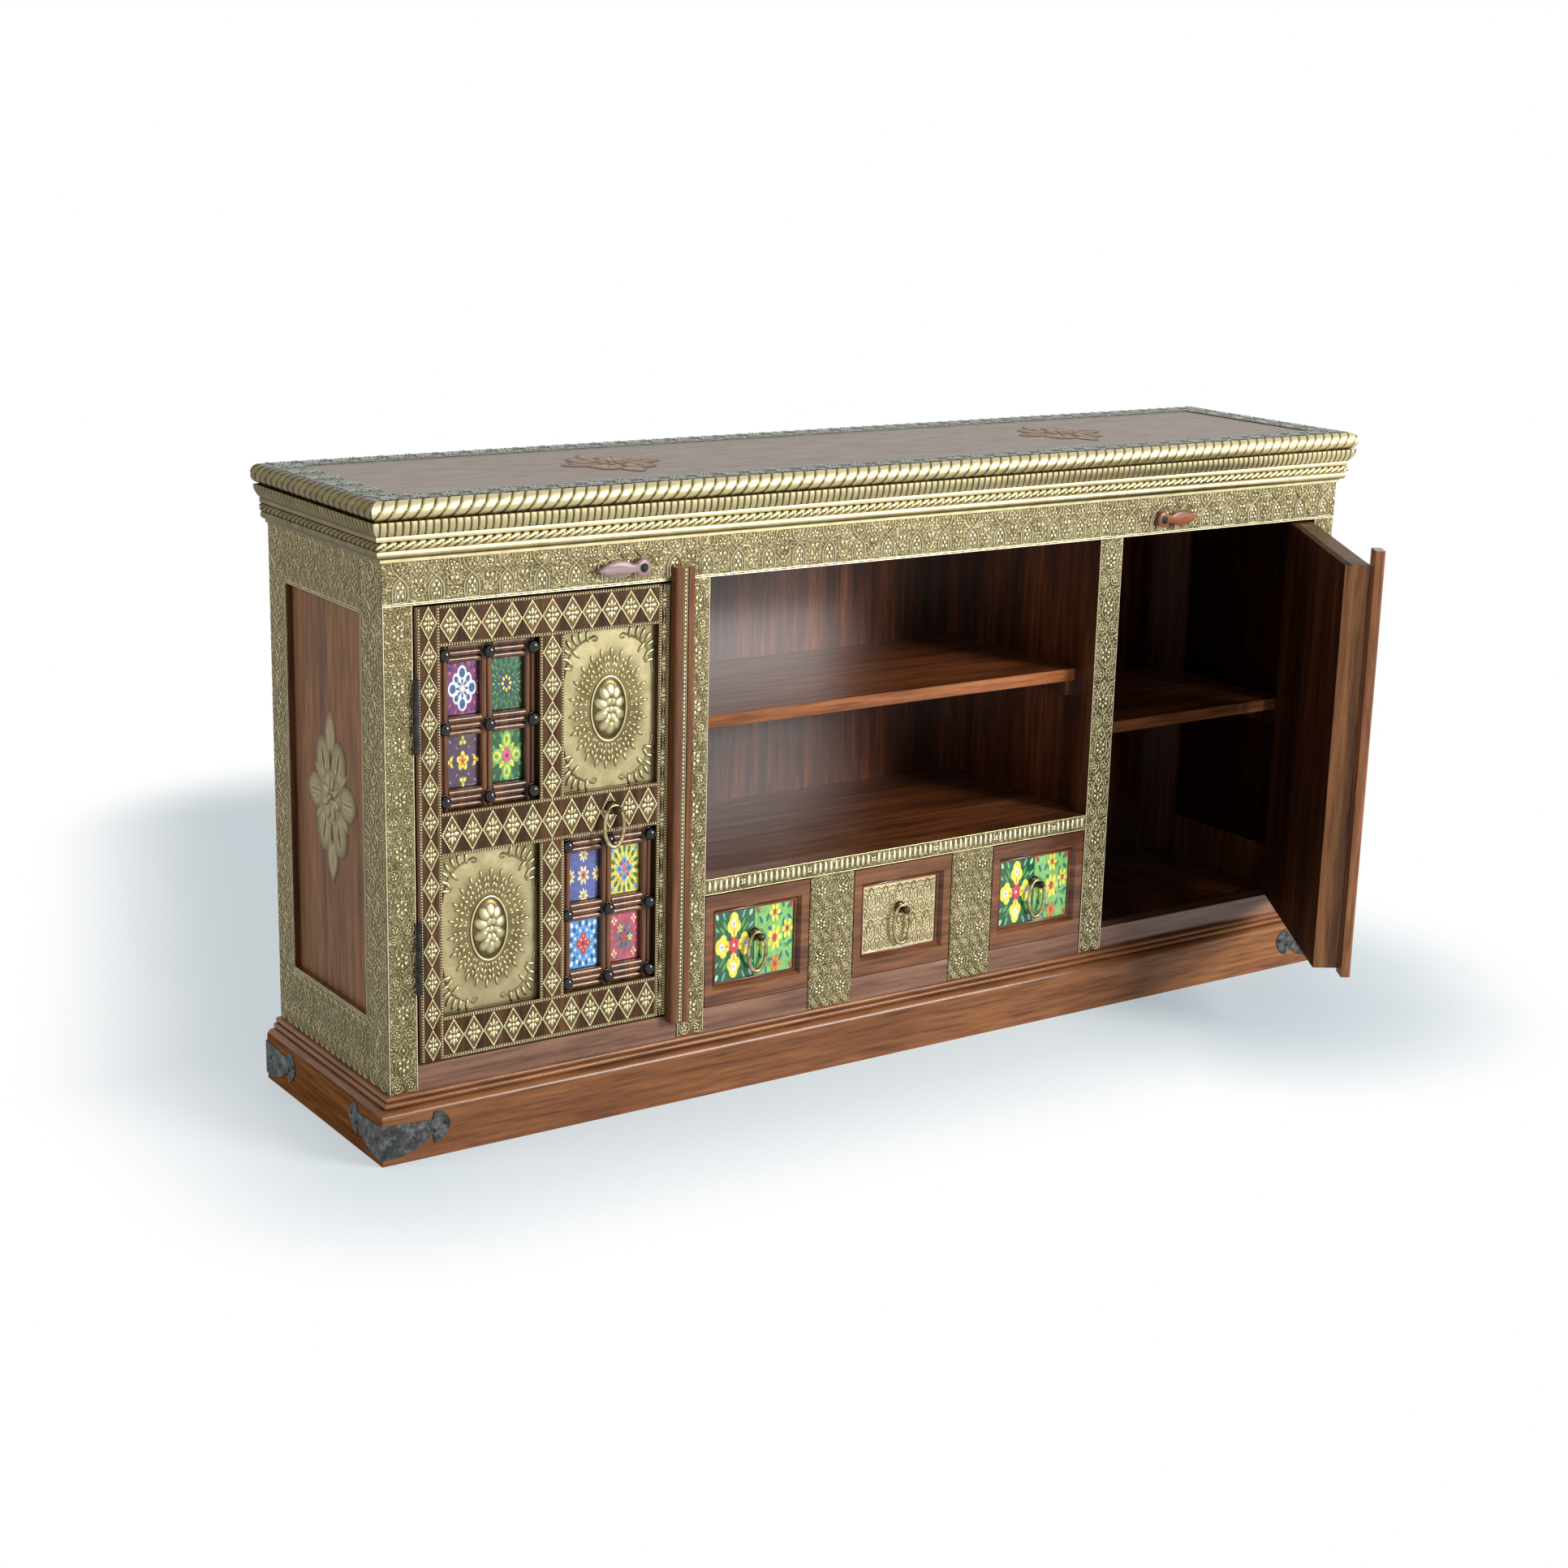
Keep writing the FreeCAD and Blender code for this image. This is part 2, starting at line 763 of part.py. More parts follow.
def astragal():
    # A channelled moulding that laps the mullion, on a tongue that seats on the lock stile.
    def at(x, y):
        return V(x, y, astragal_low)

    shoulder = astragal_front + astragal_round
    bow = astragal_round * (1 - math.sqrt(0.5))
    left_flat = astragal_left + astragal_round
    right_flat = astragal_right - astragal_round
    channel_right = astragal_channel_left + astragal_channel_width
    channel_floor = astragal_front + astragal_channel_depth
    section = face_of([
        line(at(astragal_left, astragal_back), at(astragal_left, shoulder)),
        arc(at(astragal_left, shoulder), at(astragal_left + bow, astragal_front + bow),
            at(left_flat, astragal_front)),
        line(at(left_flat, astragal_front), at(astragal_channel_left, astragal_front)),
        line(at(astragal_channel_left, astragal_front), at(astragal_channel_left, channel_floor)),
        line(at(astragal_channel_left, channel_floor), at(channel_right, channel_floor)),
        line(at(channel_right, channel_floor), at(channel_right, astragal_front)),
        line(at(channel_right, astragal_front), at(right_flat, astragal_front)),
        arc(at(right_flat, astragal_front), at(astragal_right - bow, astragal_front + bow),
            at(astragal_right, shoulder)),
        line(at(astragal_right, shoulder), at(astragal_right, astragal_back)),
        line(at(astragal_right, astragal_back), at(astragal_left, astragal_back)),
    ])
    moulding = section.extrude(V(0, 0, astragal_high - astragal_low))
    tongue = block(astragal_left, door_right, astragal_back, face_y, door_low, door_high)
    return [moulding.fuse(tongue).removeSplitter()]


def hinge_places():
    height = door_high - door_low
    return [door_low + height * share - hinge_length / 2 for share in hinge_height_shares]


def knuckle_spans(low):
    # The door's knuckle stands between the frame's two, with play above and below it.
    third = hinge_length * hinge_middle_share / 2
    middle = low + hinge_length / 2
    door_span = (middle - third + hinge_play, middle + third - hinge_play)
    return [(low, middle - third), door_span, (middle + third, low + hinge_length)]


def tube(radius, span):
    return Part.makeCylinder(radius, span[1] - span[0], V(hinge_x, hinge_y, span[0]))


def hinge_half(plate, own_spans, other_spans):
    shape = plate
    for span in other_spans:
        room = (span[0] - hinge_play, span[1] + hinge_play)
        shape = shape.cut(tube(hinge_knuckle_radius + hinge_play, room))
    for span in own_spans:
        shape = shape.fuse(tube(hinge_knuckle_radius, span))
    low = own_spans[0][0] - overrun
    high = own_spans[-1][1] + overrun
    return shape.cut(tube(hinge_pin_radius + running_clearance, (low, high))).removeSplitter()


def hinge_frame_leaves():
    halves = []
    for low in hinge_places():
        lower, middle, upper = knuckle_spans(low)
        plate = block(-stile_in, -stile_in + hinge_leaf_thickness, hinge_y, front + hinge_leaf_width,
                      low, low + hinge_length)
        halves.append(hinge_half(plate, [lower, upper], [middle]))
    return both_sides(halves)


def hinge_door_leaves():
    halves = []
    for low in hinge_places():
        lower, middle, upper = knuckle_spans(low)
        plate = block(door_left - hinge_leaf_thickness, door_left, hinge_y, front + hinge_leaf_width,
                      low, low + hinge_length)
        halves.append(hinge_half(plate, [middle], [lower, upper]))
    return halves


def hinge_pins():
    pins = []
    for low in hinge_places():
        high = low + hinge_length
        pin = tube(hinge_pin_radius, (low - hinge_head_height, high + hinge_head_height))
        pin = pin.fuse(tube(hinge_knuckle_radius, (low - hinge_head_height, low)))
        pin = pin.fuse(tube(hinge_knuckle_radius, (high, high + hinge_head_height)))
        pins.append(pin.removeSplitter())
    return both_sides(pins)


def pull_post():
    # Boss, neck and ball turned about the Y axis, standing out towards -Y from the origin.
    def at(radius, out):
        return V(radius, -out, 0)

    neck_end = boss_height + neck_length
    ball_back = math.sqrt(ball_radius ** 2 - neck_radius ** 2)
    ball_middle = neck_end + ball_back
    bow = math.sqrt(0.5)
    half_turn = face_of([
        line(at(0, 0), at(boss_radius, 0)),
        arc(at(boss_radius, 0), at(neck_radius + (boss_radius - neck_radius) * bow, boss_height * bow),
            at(neck_radius, boss_height)),
        line(at(neck_radius, boss_height), at(neck_radius, neck_end)),
        arc(at(neck_radius, neck_end), at(ball_radius, ball_middle), at(0, ball_middle + ball_radius)),
        line(at(0, ball_middle + ball_radius), at(0, 0)),
    ])
    return half_turn.revolve(V(0, 0, 0), V(0, 1, 0), 360)


def pull_ring():
    # An oval of four arcs; its upper wire lies on the neck of the post, which stands at the origin.
    across = ring_width / 2 - ring_wire_radius
    up = ring_height / 2 - ring_wire_radius
    end = ring_end_radius
    rise = up - end
    side = (across ** 2 + rise ** 2 - end ** 2) / (2 * (across - end))
    lean = math.atan2(rise, side - across)
    meet_x = end * math.cos(lean)
    meet_z = rise + end * math.sin(lean)
    plane = -boss_height - neck_length / 2
    middle = neck_radius + ring_play + ring_wire_radius - up

    def at(x, z):
        return V(x, plane, middle + z)

    path = Part.Wire([
        arc(at(across, 0), at(side * math.cos(lean / 2) - side + across, side * math.sin(lean / 2)),
            at(meet_x, meet_z)),
        arc(at(meet_x, meet_z), at(0, up), at(-meet_x, meet_z)),
        arc(at(-meet_x, meet_z), at(-across, 0), at(-meet_x, -meet_z)),
        arc(at(-meet_x, -meet_z), at(0, -up), at(meet_x, -meet_z)),
        arc(at(meet_x, -meet_z), at(side * math.cos(lean / 2) - side + across, -side * math.sin(lean / 2)),
            at(across, 0)),
    ])
    wire = Part.Wire([Part.makeCircle(ring_wire_radius, at(across, 0), V(0, 0, 1))])
    return path.makePipeShell([wire], True, False)


def door_pull_place():
    x = column_left[1] + panel_width / 2
    z = row_low[1] - door_middle_rail / 2 + door_pull_rise
    return V(x, front, z)


def left_door():
    return {
        "door_frame": door_frame(),
        "door_back_boards": door_back_boards(),
        "door_lattice_bars": lattice_bars(),
        "door_studs": door_studs(),
        "door_tiles": door_tiles(),
        "door_brass_sheets": door_brass_sheets(),
        "door_astragal": astragal(),
        "door_hinge_leaves": hinge_door_leaves(),
        "door_ring_post": [pull_post().translated(door_pull_place())],
        "door_ring": [pull_ring().translated(door_pull_place())],
    }


def opened(shape):
    # The right door is the left one mirrored, and it stands open on its hinges.
    turned = mirrored(shape)
    turned.rotate(V(-hinge_x, hinge_y, 0), V(0, 0, 1), right_door_open_angle)
    return turned


def drawer_box(middle):
    left = middle - drawer_width / 2 + drawer_gap
    right = middle + drawer_width / 2 - drawer_gap
    low = sill + drawer_gap
    high = drawer_top - drawer_gap
    near = front + drawer_front_thickness
    far = front + drawer_length
    tile_left = left + drawer_stile
    tile_right = right - drawer_stile
    tile_low = low + drawer_rail
    tile_high = high - drawer_rail
    board_front = front + drawer_recess + drawer_tile_thickness
    sticks = [
        block(left, tile_left, front, near, low, high),
        block(tile_right, right, front, near, low, high),
        block(tile_left, tile_right, front, near, low, tile_low),
        block(tile_left, tile_right, front, near, tile_high, high),
    ]

    def ring_at(grow, y):
        x0 = tile_left - grow
        x1 = tile_right + grow
        z0 = tile_low - grow
        z1 = tile_high + grow
        return Part.makePolygon([V(x0, y, z0), V(x1, y, z0), V(x1, y, z1), V(x0, y, z1), V(x0, y, z0)])

    bevel = Part.makeLoft([ring_at(drawer_bevel, front), ring_at(0, front + drawer_recess)], True, True)
    sticks = [stick.cut(bevel) for stick in sticks]
    inner_left = left + drawer_side_thickness
    inner_right = right - drawer_side_thickness
    back_front = far - drawer_side_thickness
    bottom_low = low + drawer_bottom_rise
    bottom_high = bottom_low + drawer_bottom_thickness
    side_high = low + drawer_side_height
    box = [
        block(tile_left, tile_right, board_front, near, tile_low, tile_high),
        block(left, inner_left, near, far, low, side_high),
        block(inner_right, right, near, far, low, side_high),
        block(inner_left, inner_right, back_front, far, bottom_high, side_high),
        block(inner_left, inner_right, near, far, bottom_low, bottom_high),
    ]
    return sticks + box


def drawer_facing(middle, pieces):
    # One brass panel or two tiles side by side, set back in the front frame.
    left = middle - drawer_width / 2 + drawer_gap + drawer_stile
    width = (drawer_width - 2 * drawer_gap - 2 * drawer_stile) / pieces
    low = sill + drawer_gap + drawer_rail
    high = drawer_top - drawer_gap - drawer_rail
    near = front + drawer_recess
    return [
        block(left + width * i, left + width * (i + 1), near, near + drawer_tile_thickness, low, high)
        for i in range(pieces)
    ]


def drawer_pull_place(middle):
    return V(middle, front + drawer_recess, (sill + drawer_top) / 2 + drawer_pull_rise)


def button_place():
    return V(astragal_left - button_setback, front - button_standoff, head + button_height)


def turn_button():
    # A round head on the pivot, a waist, and a pointed leaf that reaches out towards -X.
    def at(along, across):
        return V(-along, 0, across)

    head_r = button_head_radius
    neck = button_reach * button_waist_share
    belly = button_reach * button_belly_share
    half_neck = button_neck_width / 2
    half_leaf = button_leaf_width / 2
    tip = at(button_reach, 0)
    crest = at(-button_crest, 0)
    outline = face_of([
        arc(crest, at(-head_r * math.sqrt(0.5), head_r * math.sqrt(0.5)), at(0, head_r)),
        line(at(0, head_r), at(neck, half_neck)),
        arc(at(neck, half_neck), at(belly, half_leaf), tip),
        arc(tip, at(belly, -half_leaf), at(neck, -half_neck)),
        line(at(neck, -half_neck), at(0, -head_r)),
        arc(at(0, -head_r), at(-head_r * math.sqrt(0.5), -head_r * math.sqrt(0.5)), crest),
    ])
    body = outline.extrude(V(0, -button_thickness, 0))
    hole = Part.makeCylinder(screw_radius + running_clearance, button_thickness + 2 * overrun,
                             V(0, overrun, 0), V(0, -1, 0))
    return body.cut(hole).translated(button_place())


def turn_button_screw():
    # A washer against the brass, the shank through the button, and a low domed head.
    place = button_place()
    shank_front = place.y - button_thickness - running_clearance
    washer = Part.makeCylinder(washer_radius, button_standoff - running_clearance,
                               V(place.x, front, place.z), V(0, -1, 0))
    shank = Part.makeCylinder(screw_radius, front - shank_front, V(place.x, front, place.z), V(0, -1, 0))
    head = Part.makeCone(screw_head_radius, screw_radius, screw_head_height,
                         V(place.x, shank_front, place.z), V(0, -1, 0))
    return washer.fuse(shank).fuse(head).removeSplitter()


def main():
    os.makedirs("parts", exist_ok=True)
    save("plinth_boards", plinth_boards())
    save("plinth_corner_straps", plinth_corner_straps())
    save("bottom_board", bottom_board())
    save("side_frames", both_sides(side_frame()))
    save("side_panels", both_sides([side_panel()]))
    save("brass_flowers", brass_flowers())
    save("partitions", partitions())
    save("back_boards", back_boards())
    save("front_stiles", front_stiles())
    save("frieze_rail", frieze_rail())
    save("open_bay_rail", open_bay_rail())
    save("drawer_dividers", drawer_dividers())
    save("front_bottom_rail", front_bottom_rail())
    save("brass_cladding", brass_cladding())
    save("top_board", top_board())
    save("top_brass_border", top_brass_border())
    save("crown_mouldings", crown_mouldings())
    save("open_bay_floor", open_bay_floor())
    save("middle_shelf", middle_shelf())
    save("side_bay_shelves", side_bay_shelves())
    save("shelf_cleats", shelf_cleats())
    save("drawer_runners", drawer_runners())
    save("hinge_frame_leaves", hinge_frame_leaves())
    save("hinge_pins", hinge_pins())
    save("turn_button_screws", both_sides([turn_button_screw()]))
    save("left_turn_button", [turn_button()])
    save("right_turn_button", [mirrored(turn_button())])
    for name, solids in left_door().items():
        save("left_" + name, solids)
        save("right_" + name, [opened(solid) for solid in solids])
    for place, name, pieces in ((-1, "left", 2), (0, "middle", 1), (1, "right", 2)):
        middle = place * drawer_pitch
        save(name + "_drawer_box", drawer_box(middle))
        save(name + "_drawer_facing", drawer_facing(middle, pieces))
        save(name + "_drawer_ring_post", [pull_post().translated(drawer_pull_place(middle))])
        save(name + "_drawer_ring", [pull_ring().translated(drawer_pull_place(middle))])


main()
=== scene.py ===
import math
import bpy
from mathutils import Matrix, Vector


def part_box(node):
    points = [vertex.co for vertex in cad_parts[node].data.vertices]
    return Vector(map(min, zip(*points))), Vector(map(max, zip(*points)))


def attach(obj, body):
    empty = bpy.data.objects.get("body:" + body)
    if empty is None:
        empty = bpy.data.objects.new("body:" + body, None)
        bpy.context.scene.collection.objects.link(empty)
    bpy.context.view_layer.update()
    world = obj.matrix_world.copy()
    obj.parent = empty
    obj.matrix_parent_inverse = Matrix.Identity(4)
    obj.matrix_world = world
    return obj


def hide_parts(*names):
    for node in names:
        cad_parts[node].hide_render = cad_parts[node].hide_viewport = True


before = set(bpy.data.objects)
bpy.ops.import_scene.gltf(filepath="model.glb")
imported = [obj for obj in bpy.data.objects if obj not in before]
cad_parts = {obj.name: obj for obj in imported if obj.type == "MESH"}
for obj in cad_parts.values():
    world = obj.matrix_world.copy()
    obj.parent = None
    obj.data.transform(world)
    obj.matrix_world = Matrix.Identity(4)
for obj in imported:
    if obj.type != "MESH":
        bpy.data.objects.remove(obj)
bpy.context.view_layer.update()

mm = 0.001
bothSides = (("left", -1), ("right", 1))
cabinet = {  # the lines of the cabinet that the pieces below hang on, in millimetres
    "halfWidth": 760, "front": -161, "back": 161, "plinthTop": 81, "plinthOut": 20, "drawerTop": 263, "head": 675.5,
    "crownFoot": 728, "stileIn": 722, "mullionIn": 316, "mullionOut": 356, "dividerIn": 82, "dividerOut": 152}
door = {  # the left one, shut
    "left": -719, "right": -359, "low": 114, "high": 672.5, "face": -160, "back": -126.3, "panelFace": -151,
    "hinge": (-720.5, -165), "opened": 57, "columns": (-687, -521.5), "rows": (167, 422.25), "panelWidth": 132.5,
    "panelHeight": 201.25, "hingeStile": 32, "lockStile": 30, "astragalLeft": -374}


# picking up, placing and joining

def leaveEdit():
    bpy.ops.object.mode_set(mode="OBJECT")


def clearSelection():
    if bpy.context.object and bpy.context.object.mode != "OBJECT":
        leaveEdit()
    bpy.ops.object.select_all(action="DESELECT")


def pickUp(*objs):
    clearSelection()
    for obj in objs:
        obj.select_set(True)
    bpy.context.view_layer.objects.active = objs[0]


def fresh(add, **options):  # adds one thing, with nothing else selected
    clearSelection()
    add(**options)
    return bpy.context.object


def editAll(obj):
    pickUp(obj)
    bpy.ops.object.mode_set(mode="EDIT")
    bpy.ops.mesh.select_all(action="SELECT")


def editOnly(obj, kind, wanted):  # edit mode with some of the vertices or faces selected
    editAll(obj)
    bpy.ops.mesh.select_mode(type=kind)
    bpy.ops.mesh.select_all(action="DESELECT")
    leaveEdit()
    for cell in obj.data.vertices if kind == "VERT" else obj.data.polygons:
        cell.select = wanted(cell)
    bpy.ops.object.mode_set(mode="EDIT")


def joinAs(name, objs):  # one piece, its place in the mesh
    pickUp(*objs)
    if len(objs) > 1:
        bpy.ops.object.join()
    obj = bpy.context.object
    obj.name = name
    obj.data.name = name
    pickUp(obj)
    bpy.ops.object.transform_apply(location=True, rotation=True, scale=True)
    return obj


def copyTo(source, place):  # a copy with its own mesh
    piece = source.copy()
    piece.data = source.data.copy()
    piece.data.transform(place)
    if place.determinant() < 0:
        piece.data.flip_normals()
    bpy.context.scene.collection.objects.link(piece)
    return piece


def putAway(*objs):  # patterns that have been copied
    for obj in objs:
        bpy.data.objects.remove(obj)


def applyAll(obj):
    pickUp(obj)
    for modifier in list(obj.modifiers):
        bpy.ops.object.modifier_apply(modifier=modifier.name)
    return obj


def rowOf(obj, count, step):  # repeats a piece along a line
    if count > 1:
        row = obj.modifiers.new("row", "ARRAY")
        row.count = count
        row.use_relative_offset = False
        row.use_constant_offset = True
        row.constant_offset_displace = [v * mm for v in step]
    return applyAll(obj)


def smooth(obj, degrees):
    pickUp(obj)
    bpy.ops.object.shade_smooth_by_angle(angle=math.radians(degrees))
    return obj


def moved(x, y, z):
    return Matrix.Translation((x * mm, y * mm, z * mm))


def turned(degrees, axis):
    return Matrix.Rotation(math.radians(degrees), 4, axis)


def at(x, y, turn=0.0, up=0.0):  # a place on a flat pattern
    return moved(x, y, up) @ turned(turn, "Z")


def sized(sx, sy, sz=1.0):
    return Matrix.Diagonal((sx, sy, sz, 1))


standing = {  # how a flat pattern is hung on each side of the cabinet
    "front": turned(90, "X"), "left": turned(-90, "Z") @ turned(90, "X"), "right": turned(90, "Z") @ turned(90, "X"),
    "top": Matrix.Identity(4)}


def hung(side, across, up, out):  # across and up on that side's face, out from the middle
    places = {"front": (across, -out, up), "left": (-out, -across, up), "right": (out, across, up),
              "top": (across, up, out)}
    return moved(*places[side]) @ standing[side]


def finishPiece(obj, body, finish, replaced=()):
    if finish:
        obj.data.materials.clear()
        obj.data.materials.append(finishes[finish])
    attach(obj, body)
    if replaced:
        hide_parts(*replaced)
    return obj


# small shapes that the patterns are made of

def markRise(obj, top, level=None):  # how far a point stands proud, for the patina in the hollows
    layer = obj.data.attributes.get("rise") or obj.data.attributes.new("rise", "FLOAT", "POINT")
    for vert, cell in zip(obj.data.vertices, layer.data):
        cell.value = min(max(vert.co.z / (top * mm), 0.0), 1.0) if level is None else level
    return obj


def dimmed(obj, share, lift=0.0):  # less polish on the crests
    for spot in obj.data.attributes["rise"].data:
        spot.value = lift + share * spot.value
    return obj


def dome(length, width, rise, sides=6, rings=4, taper=0.0):  # a raised drop, its point towards +X
    obj = fresh(bpy.ops.mesh.primitive_uv_sphere_add, segments=sides, ring_count=rings, radius=1)
    editAll(obj)
    bpy.ops.mesh.bisect(plane_co=(0, 0, 0), plane_no=(0, 0, 1), clear_inner=True)
    leaveEdit()
    for vert in obj.data.vertices:
        vert.co.y *= 1 - taper * max(0.0, vert.co.x) ** 2
    markRise(obj, 1 / mm)
    obj.data.transform(sized(length / 2 * mm, width / 2 * mm, rise * mm))
    return smooth(obj, 80)


def plate(length, width, rise, taper=0.0):  # a dome pressed flat on top
    obj = dome(length, width, 1, 20, 8, taper)
    for vert in obj.data.vertices:
        vert.co.z = min(vert.co.z / mm, 0.5) * 2 * rise * mm
    return obj


def block(low, high):  # a box between two corners
    obj = fresh(bpy.ops.mesh.primitive_cube_add, size=1)
    middle = moved(*[(a + b) / 2 for a, b in zip(low, high)])
    obj.data.transform(middle @ sized(*[(b - a) * mm for a, b in zip(low, high)]))
    return obj


def eased(obj, width, segments=1):
    bevel = obj.modifiers.new("eased", "BEVEL")
    bevel.width = width * mm
    bevel.segments = segments
    return applyAll(obj)


def wire(points, radius, closed=False, straight=False, facets=0):  # a raised line
    curve = bpy.data.curves.new("wire", "CURVE")
    curve.dimensions = "3D"
    spline = curve.splines.new("POLY" if straight else "NURBS")
    spline.points.add(len(points) - 1)
    for spot, (x, y) in zip(spline.points, points):
        spot.co = (x * mm, y * mm, 0, 1)
    spline.use_cyclic_u = closed
    if not straight:
        spline.order_u = 3
        spline.use_endpoint_u = not closed
    curve.resolution_u = 2
    curve.bevel_depth = radius * mm
    curve.bevel_resolution = facets
    curve.use_fill_caps = True
    obj = bpy.data.objects.new("wire", curve)
    bpy.context.scene.collection.objects.link(obj)
    pickUp(obj)
    bpy.ops.object.convert(target="MESH")
    return smooth(markRise(bpy.context.object, radius), 80)


def mirrored(points, middle=0):
    return [(2 * middle - x, y) for x, y in points]


def rectangle(x, y):
    return [(-x, -y), (x, -y), (x, y), (-x, y)]


def assemble(name, placed):  # a pattern from shapes and their places; the shapes are put away
    pattern = joinAs(name, [copyTo(shape, place) for shape, place in placed])
    putAway(*dict.fromkeys(shape for shape, place in placed))
    return pattern


def ringOf(shape, count, radius, start, stretch=1.0, x=0.0, y=0.0, up=0.0):  # petals about a middle
    places = []
    for i in range(count):
        turn = math.radians(start + 360 / count * i)
        px, py = radius * math.cos(turn), radius * stretch * math.sin(turn)
        lean = math.degrees(math.atan2(math.sin(turn) * stretch, math.cos(turn)))
        places.append((shape, at(x + px, y + py, lean, up)))
    return places


# finishes

white = (1, 1, 1, 1)


def shade(r, g, b):
    def linear(v):
        v = v / 255
        return v / 12.92 if v <= 0.04045 else ((v + 0.055) / 1.055) ** 2.4
    return (linear(r), linear(g), linear(b), 1)


def feed(owner, socket, value):
    if isinstance(value, bpy.types.NodeSocket):
        owner.node_tree.links.new(value, socket)
    else:
        socket.default_value = value


def addNode(owner, kind, inputs, **options):
    made = owner.node_tree.nodes.new(kind)
    for key, value in options.items():
        setattr(made, key, value)
    for key, value in inputs.items():
        feed(owner, made.inputs[key], value)
    return made


def newFinish(name, looks):
    finish = bpy.data.materials.new(name)
    finish.use_nodes = True
    shader = finish.node_tree.nodes["Principled BSDF"]
    for key, value in {"Coat Roughness": 0.12, **looks}.items():
        shader.inputs[key].default_value = value
    return finish, shader


def laidOut(finish, scale=(1, 1, 1)):  # the piece's own coordinates, stretched
    place = addNode(finish, "ShaderNodeTexCoord", {})
    return addNode(finish, "ShaderNodeMapping", {"Vector": place.outputs["Object"], "Scale": scale}).outputs[0]


def noise(finish, scale, detail, rough=0.55, bent=0.0, stretch=(1, 1, 1)):
    return addNode(finish, "ShaderNodeTexNoise", {
        "Vector": laidOut(finish, stretch), "Scale": scale, "Detail": detail, "Roughness": rough,
        "Distortion": bent}).outputs["Fac"]


def ramp(finish, factor, places, tones):
    made = addNode(finish, "ShaderNodeValToRGB", {"Fac": factor})
    band = made.color_ramp.elements
    while len(band) < len(tones):
        band.new(0.5)
    for cell, place, tone in zip(band, places, tones):
        cell.position = place
        cell.color = tone if len(tone) == 4 else shade(*tone)
    return made.outputs["Color"]


def blended(finish, factor, first, second, how="MIX"):
    made = addNode(finish, "ShaderNodeMix", {0: factor, 6: first, 7: second}, data_type="RGBA", blend_type=how)
    return made.outputs[2]


def sums(owner, how, first, second):
    return addNode(owner, "ShaderNodeMath", {0: first, 1: second}, operation=how).outputs[0]


def weighed(finish, first, share, second, other):
    return sums(finish, "ADD", sums(finish, "MULTIPLY", first, share), sums(finish, "MULTIPLY", second, other))


def between(finish, value, low, high):
    return addNode(finish, "ShaderNodeMapRange", {"Value": value, "To Min": low, "To Max": high}).outputs["Result"]


def dress(finish, shader, colour, rough, height, strength, reach):  # colour, roughness and bump
    bump = addNode(finish, "ShaderNodeBump", {"Height": height, "Strength": strength, "Distance": reach * mm})
    for key, value in (("Base Color", colour), ("Roughness", rough), ("Normal", bump.outputs["Normal"])):
        feed(finish, shader.inputs[key], value)
    return finish


grain = {"x": (1.6, 26, 26), "z": (26, 26, 1.6), "level": (1.6, 1.6, 26), "fibres": 9, "lines": 3.4, "boards": 0.4,
         "stops": (0.28, 0.45, 0.58, 0.75), "pore": (165, 150, 140), "darkBoard": (110, 96, 88)}


def lacqueredWood(name, along, tones, rough=(0.24, 0.42), coat=0.35, polish=1.5, boards=0.0, gloss=0.3, haze=0.12):
    finish, shader = newFinish(name, {
        "Coat Weight": coat, "Coat IOR": polish, "Coat Roughness": haze, "Specular IOR Level": gloss})
    run = grain[along]
    figure = noise(finish, 1.0, 7, 0.62, 0.9, run)
    fibres = noise(finish, 1.0, 3, 0.6, 0.0, [v * grain["fibres"] for v in run])
    lines = noise(finish, 1.0, 5, 0.6, 0.4, [v * grain["lines"] for v in run])
    colour = ramp(finish, weighed(finish, figure, 0.6, lines, 0.4), grain["stops"], tones)
    pores = ramp(finish, fibres, (0.3, 0.55), (grain["pore"], white))
    colour = blended(finish, 0.75, colour, pores, "MULTIPLY")
    if boards:  # broad changes of tone from board to board
        broad = noise(finish, 1.0, 1, stretch=[v * grain["boards"] for v in run])
        dark = ramp(finish, broad, (0.36, 0.6), (grain["darkBoard"], white))
        colour = blended(finish, boards, colour, dark, "MULTIPLY")
    return dress(finish, shader, colour, between(finish, fibres, rough[1], rough[0]), fibres, 0.25, 0.4)


def embossedBrass(name, rough, tones):  # dark in the hollows, rubbed bright on the crests
    finish, shader = newFinish(name, {"Metallic": 0.92})
    rise = addNode(finish, "ShaderNodeAttribute", {}, attribute_name="rise").outputs["Fac"]
    patina = noise(finish, 55, 5, 0.65)
    colour = ramp(finish, weighed(finish, rise, 0.8, patina, 0.34), (0.12, 0.42, 0.72, 0.98), tones)
    return dress(finish, shader, colour, between(finish, patina, *rough), noise(finish, 420, 3), 0.3, 0.3)


def beatenBrass(name, stipple, tones):  # the flat sheet behind the raised pattern
    finish, shader = newFinish(name, {"Metallic": 0.9})
    cells = addNode(finish, "ShaderNodeTexVoronoi", {"Vector": laidOut(finish), "Scale": stipple}).outputs["Distance"]
    patina = noise(finish, 42, 5, 0.65)
    colour = ramp(finish, weighed(finish, cells, 0.55, patina, 0.55), (0.2, 0.42, 0.62, 0.85), tones)
    return dress(finish, shader, colour, between(finish, patina, 0.34, 0.55), cells, 0.6, 0.6)


def mottledMetal(name, metallic, rough, tones):
    finish, shader = newFinish(name, {"Metallic": metallic})
    spots = noise(finish, 90, 6, 0.7)
    colour = ramp(finish, spots, (0.3, 0.5, 0.66), tones)
    return dress(finish, shader, colour, between(finish, spots, *rough), noise(finish, 320, 4), 0.35, 0.5)


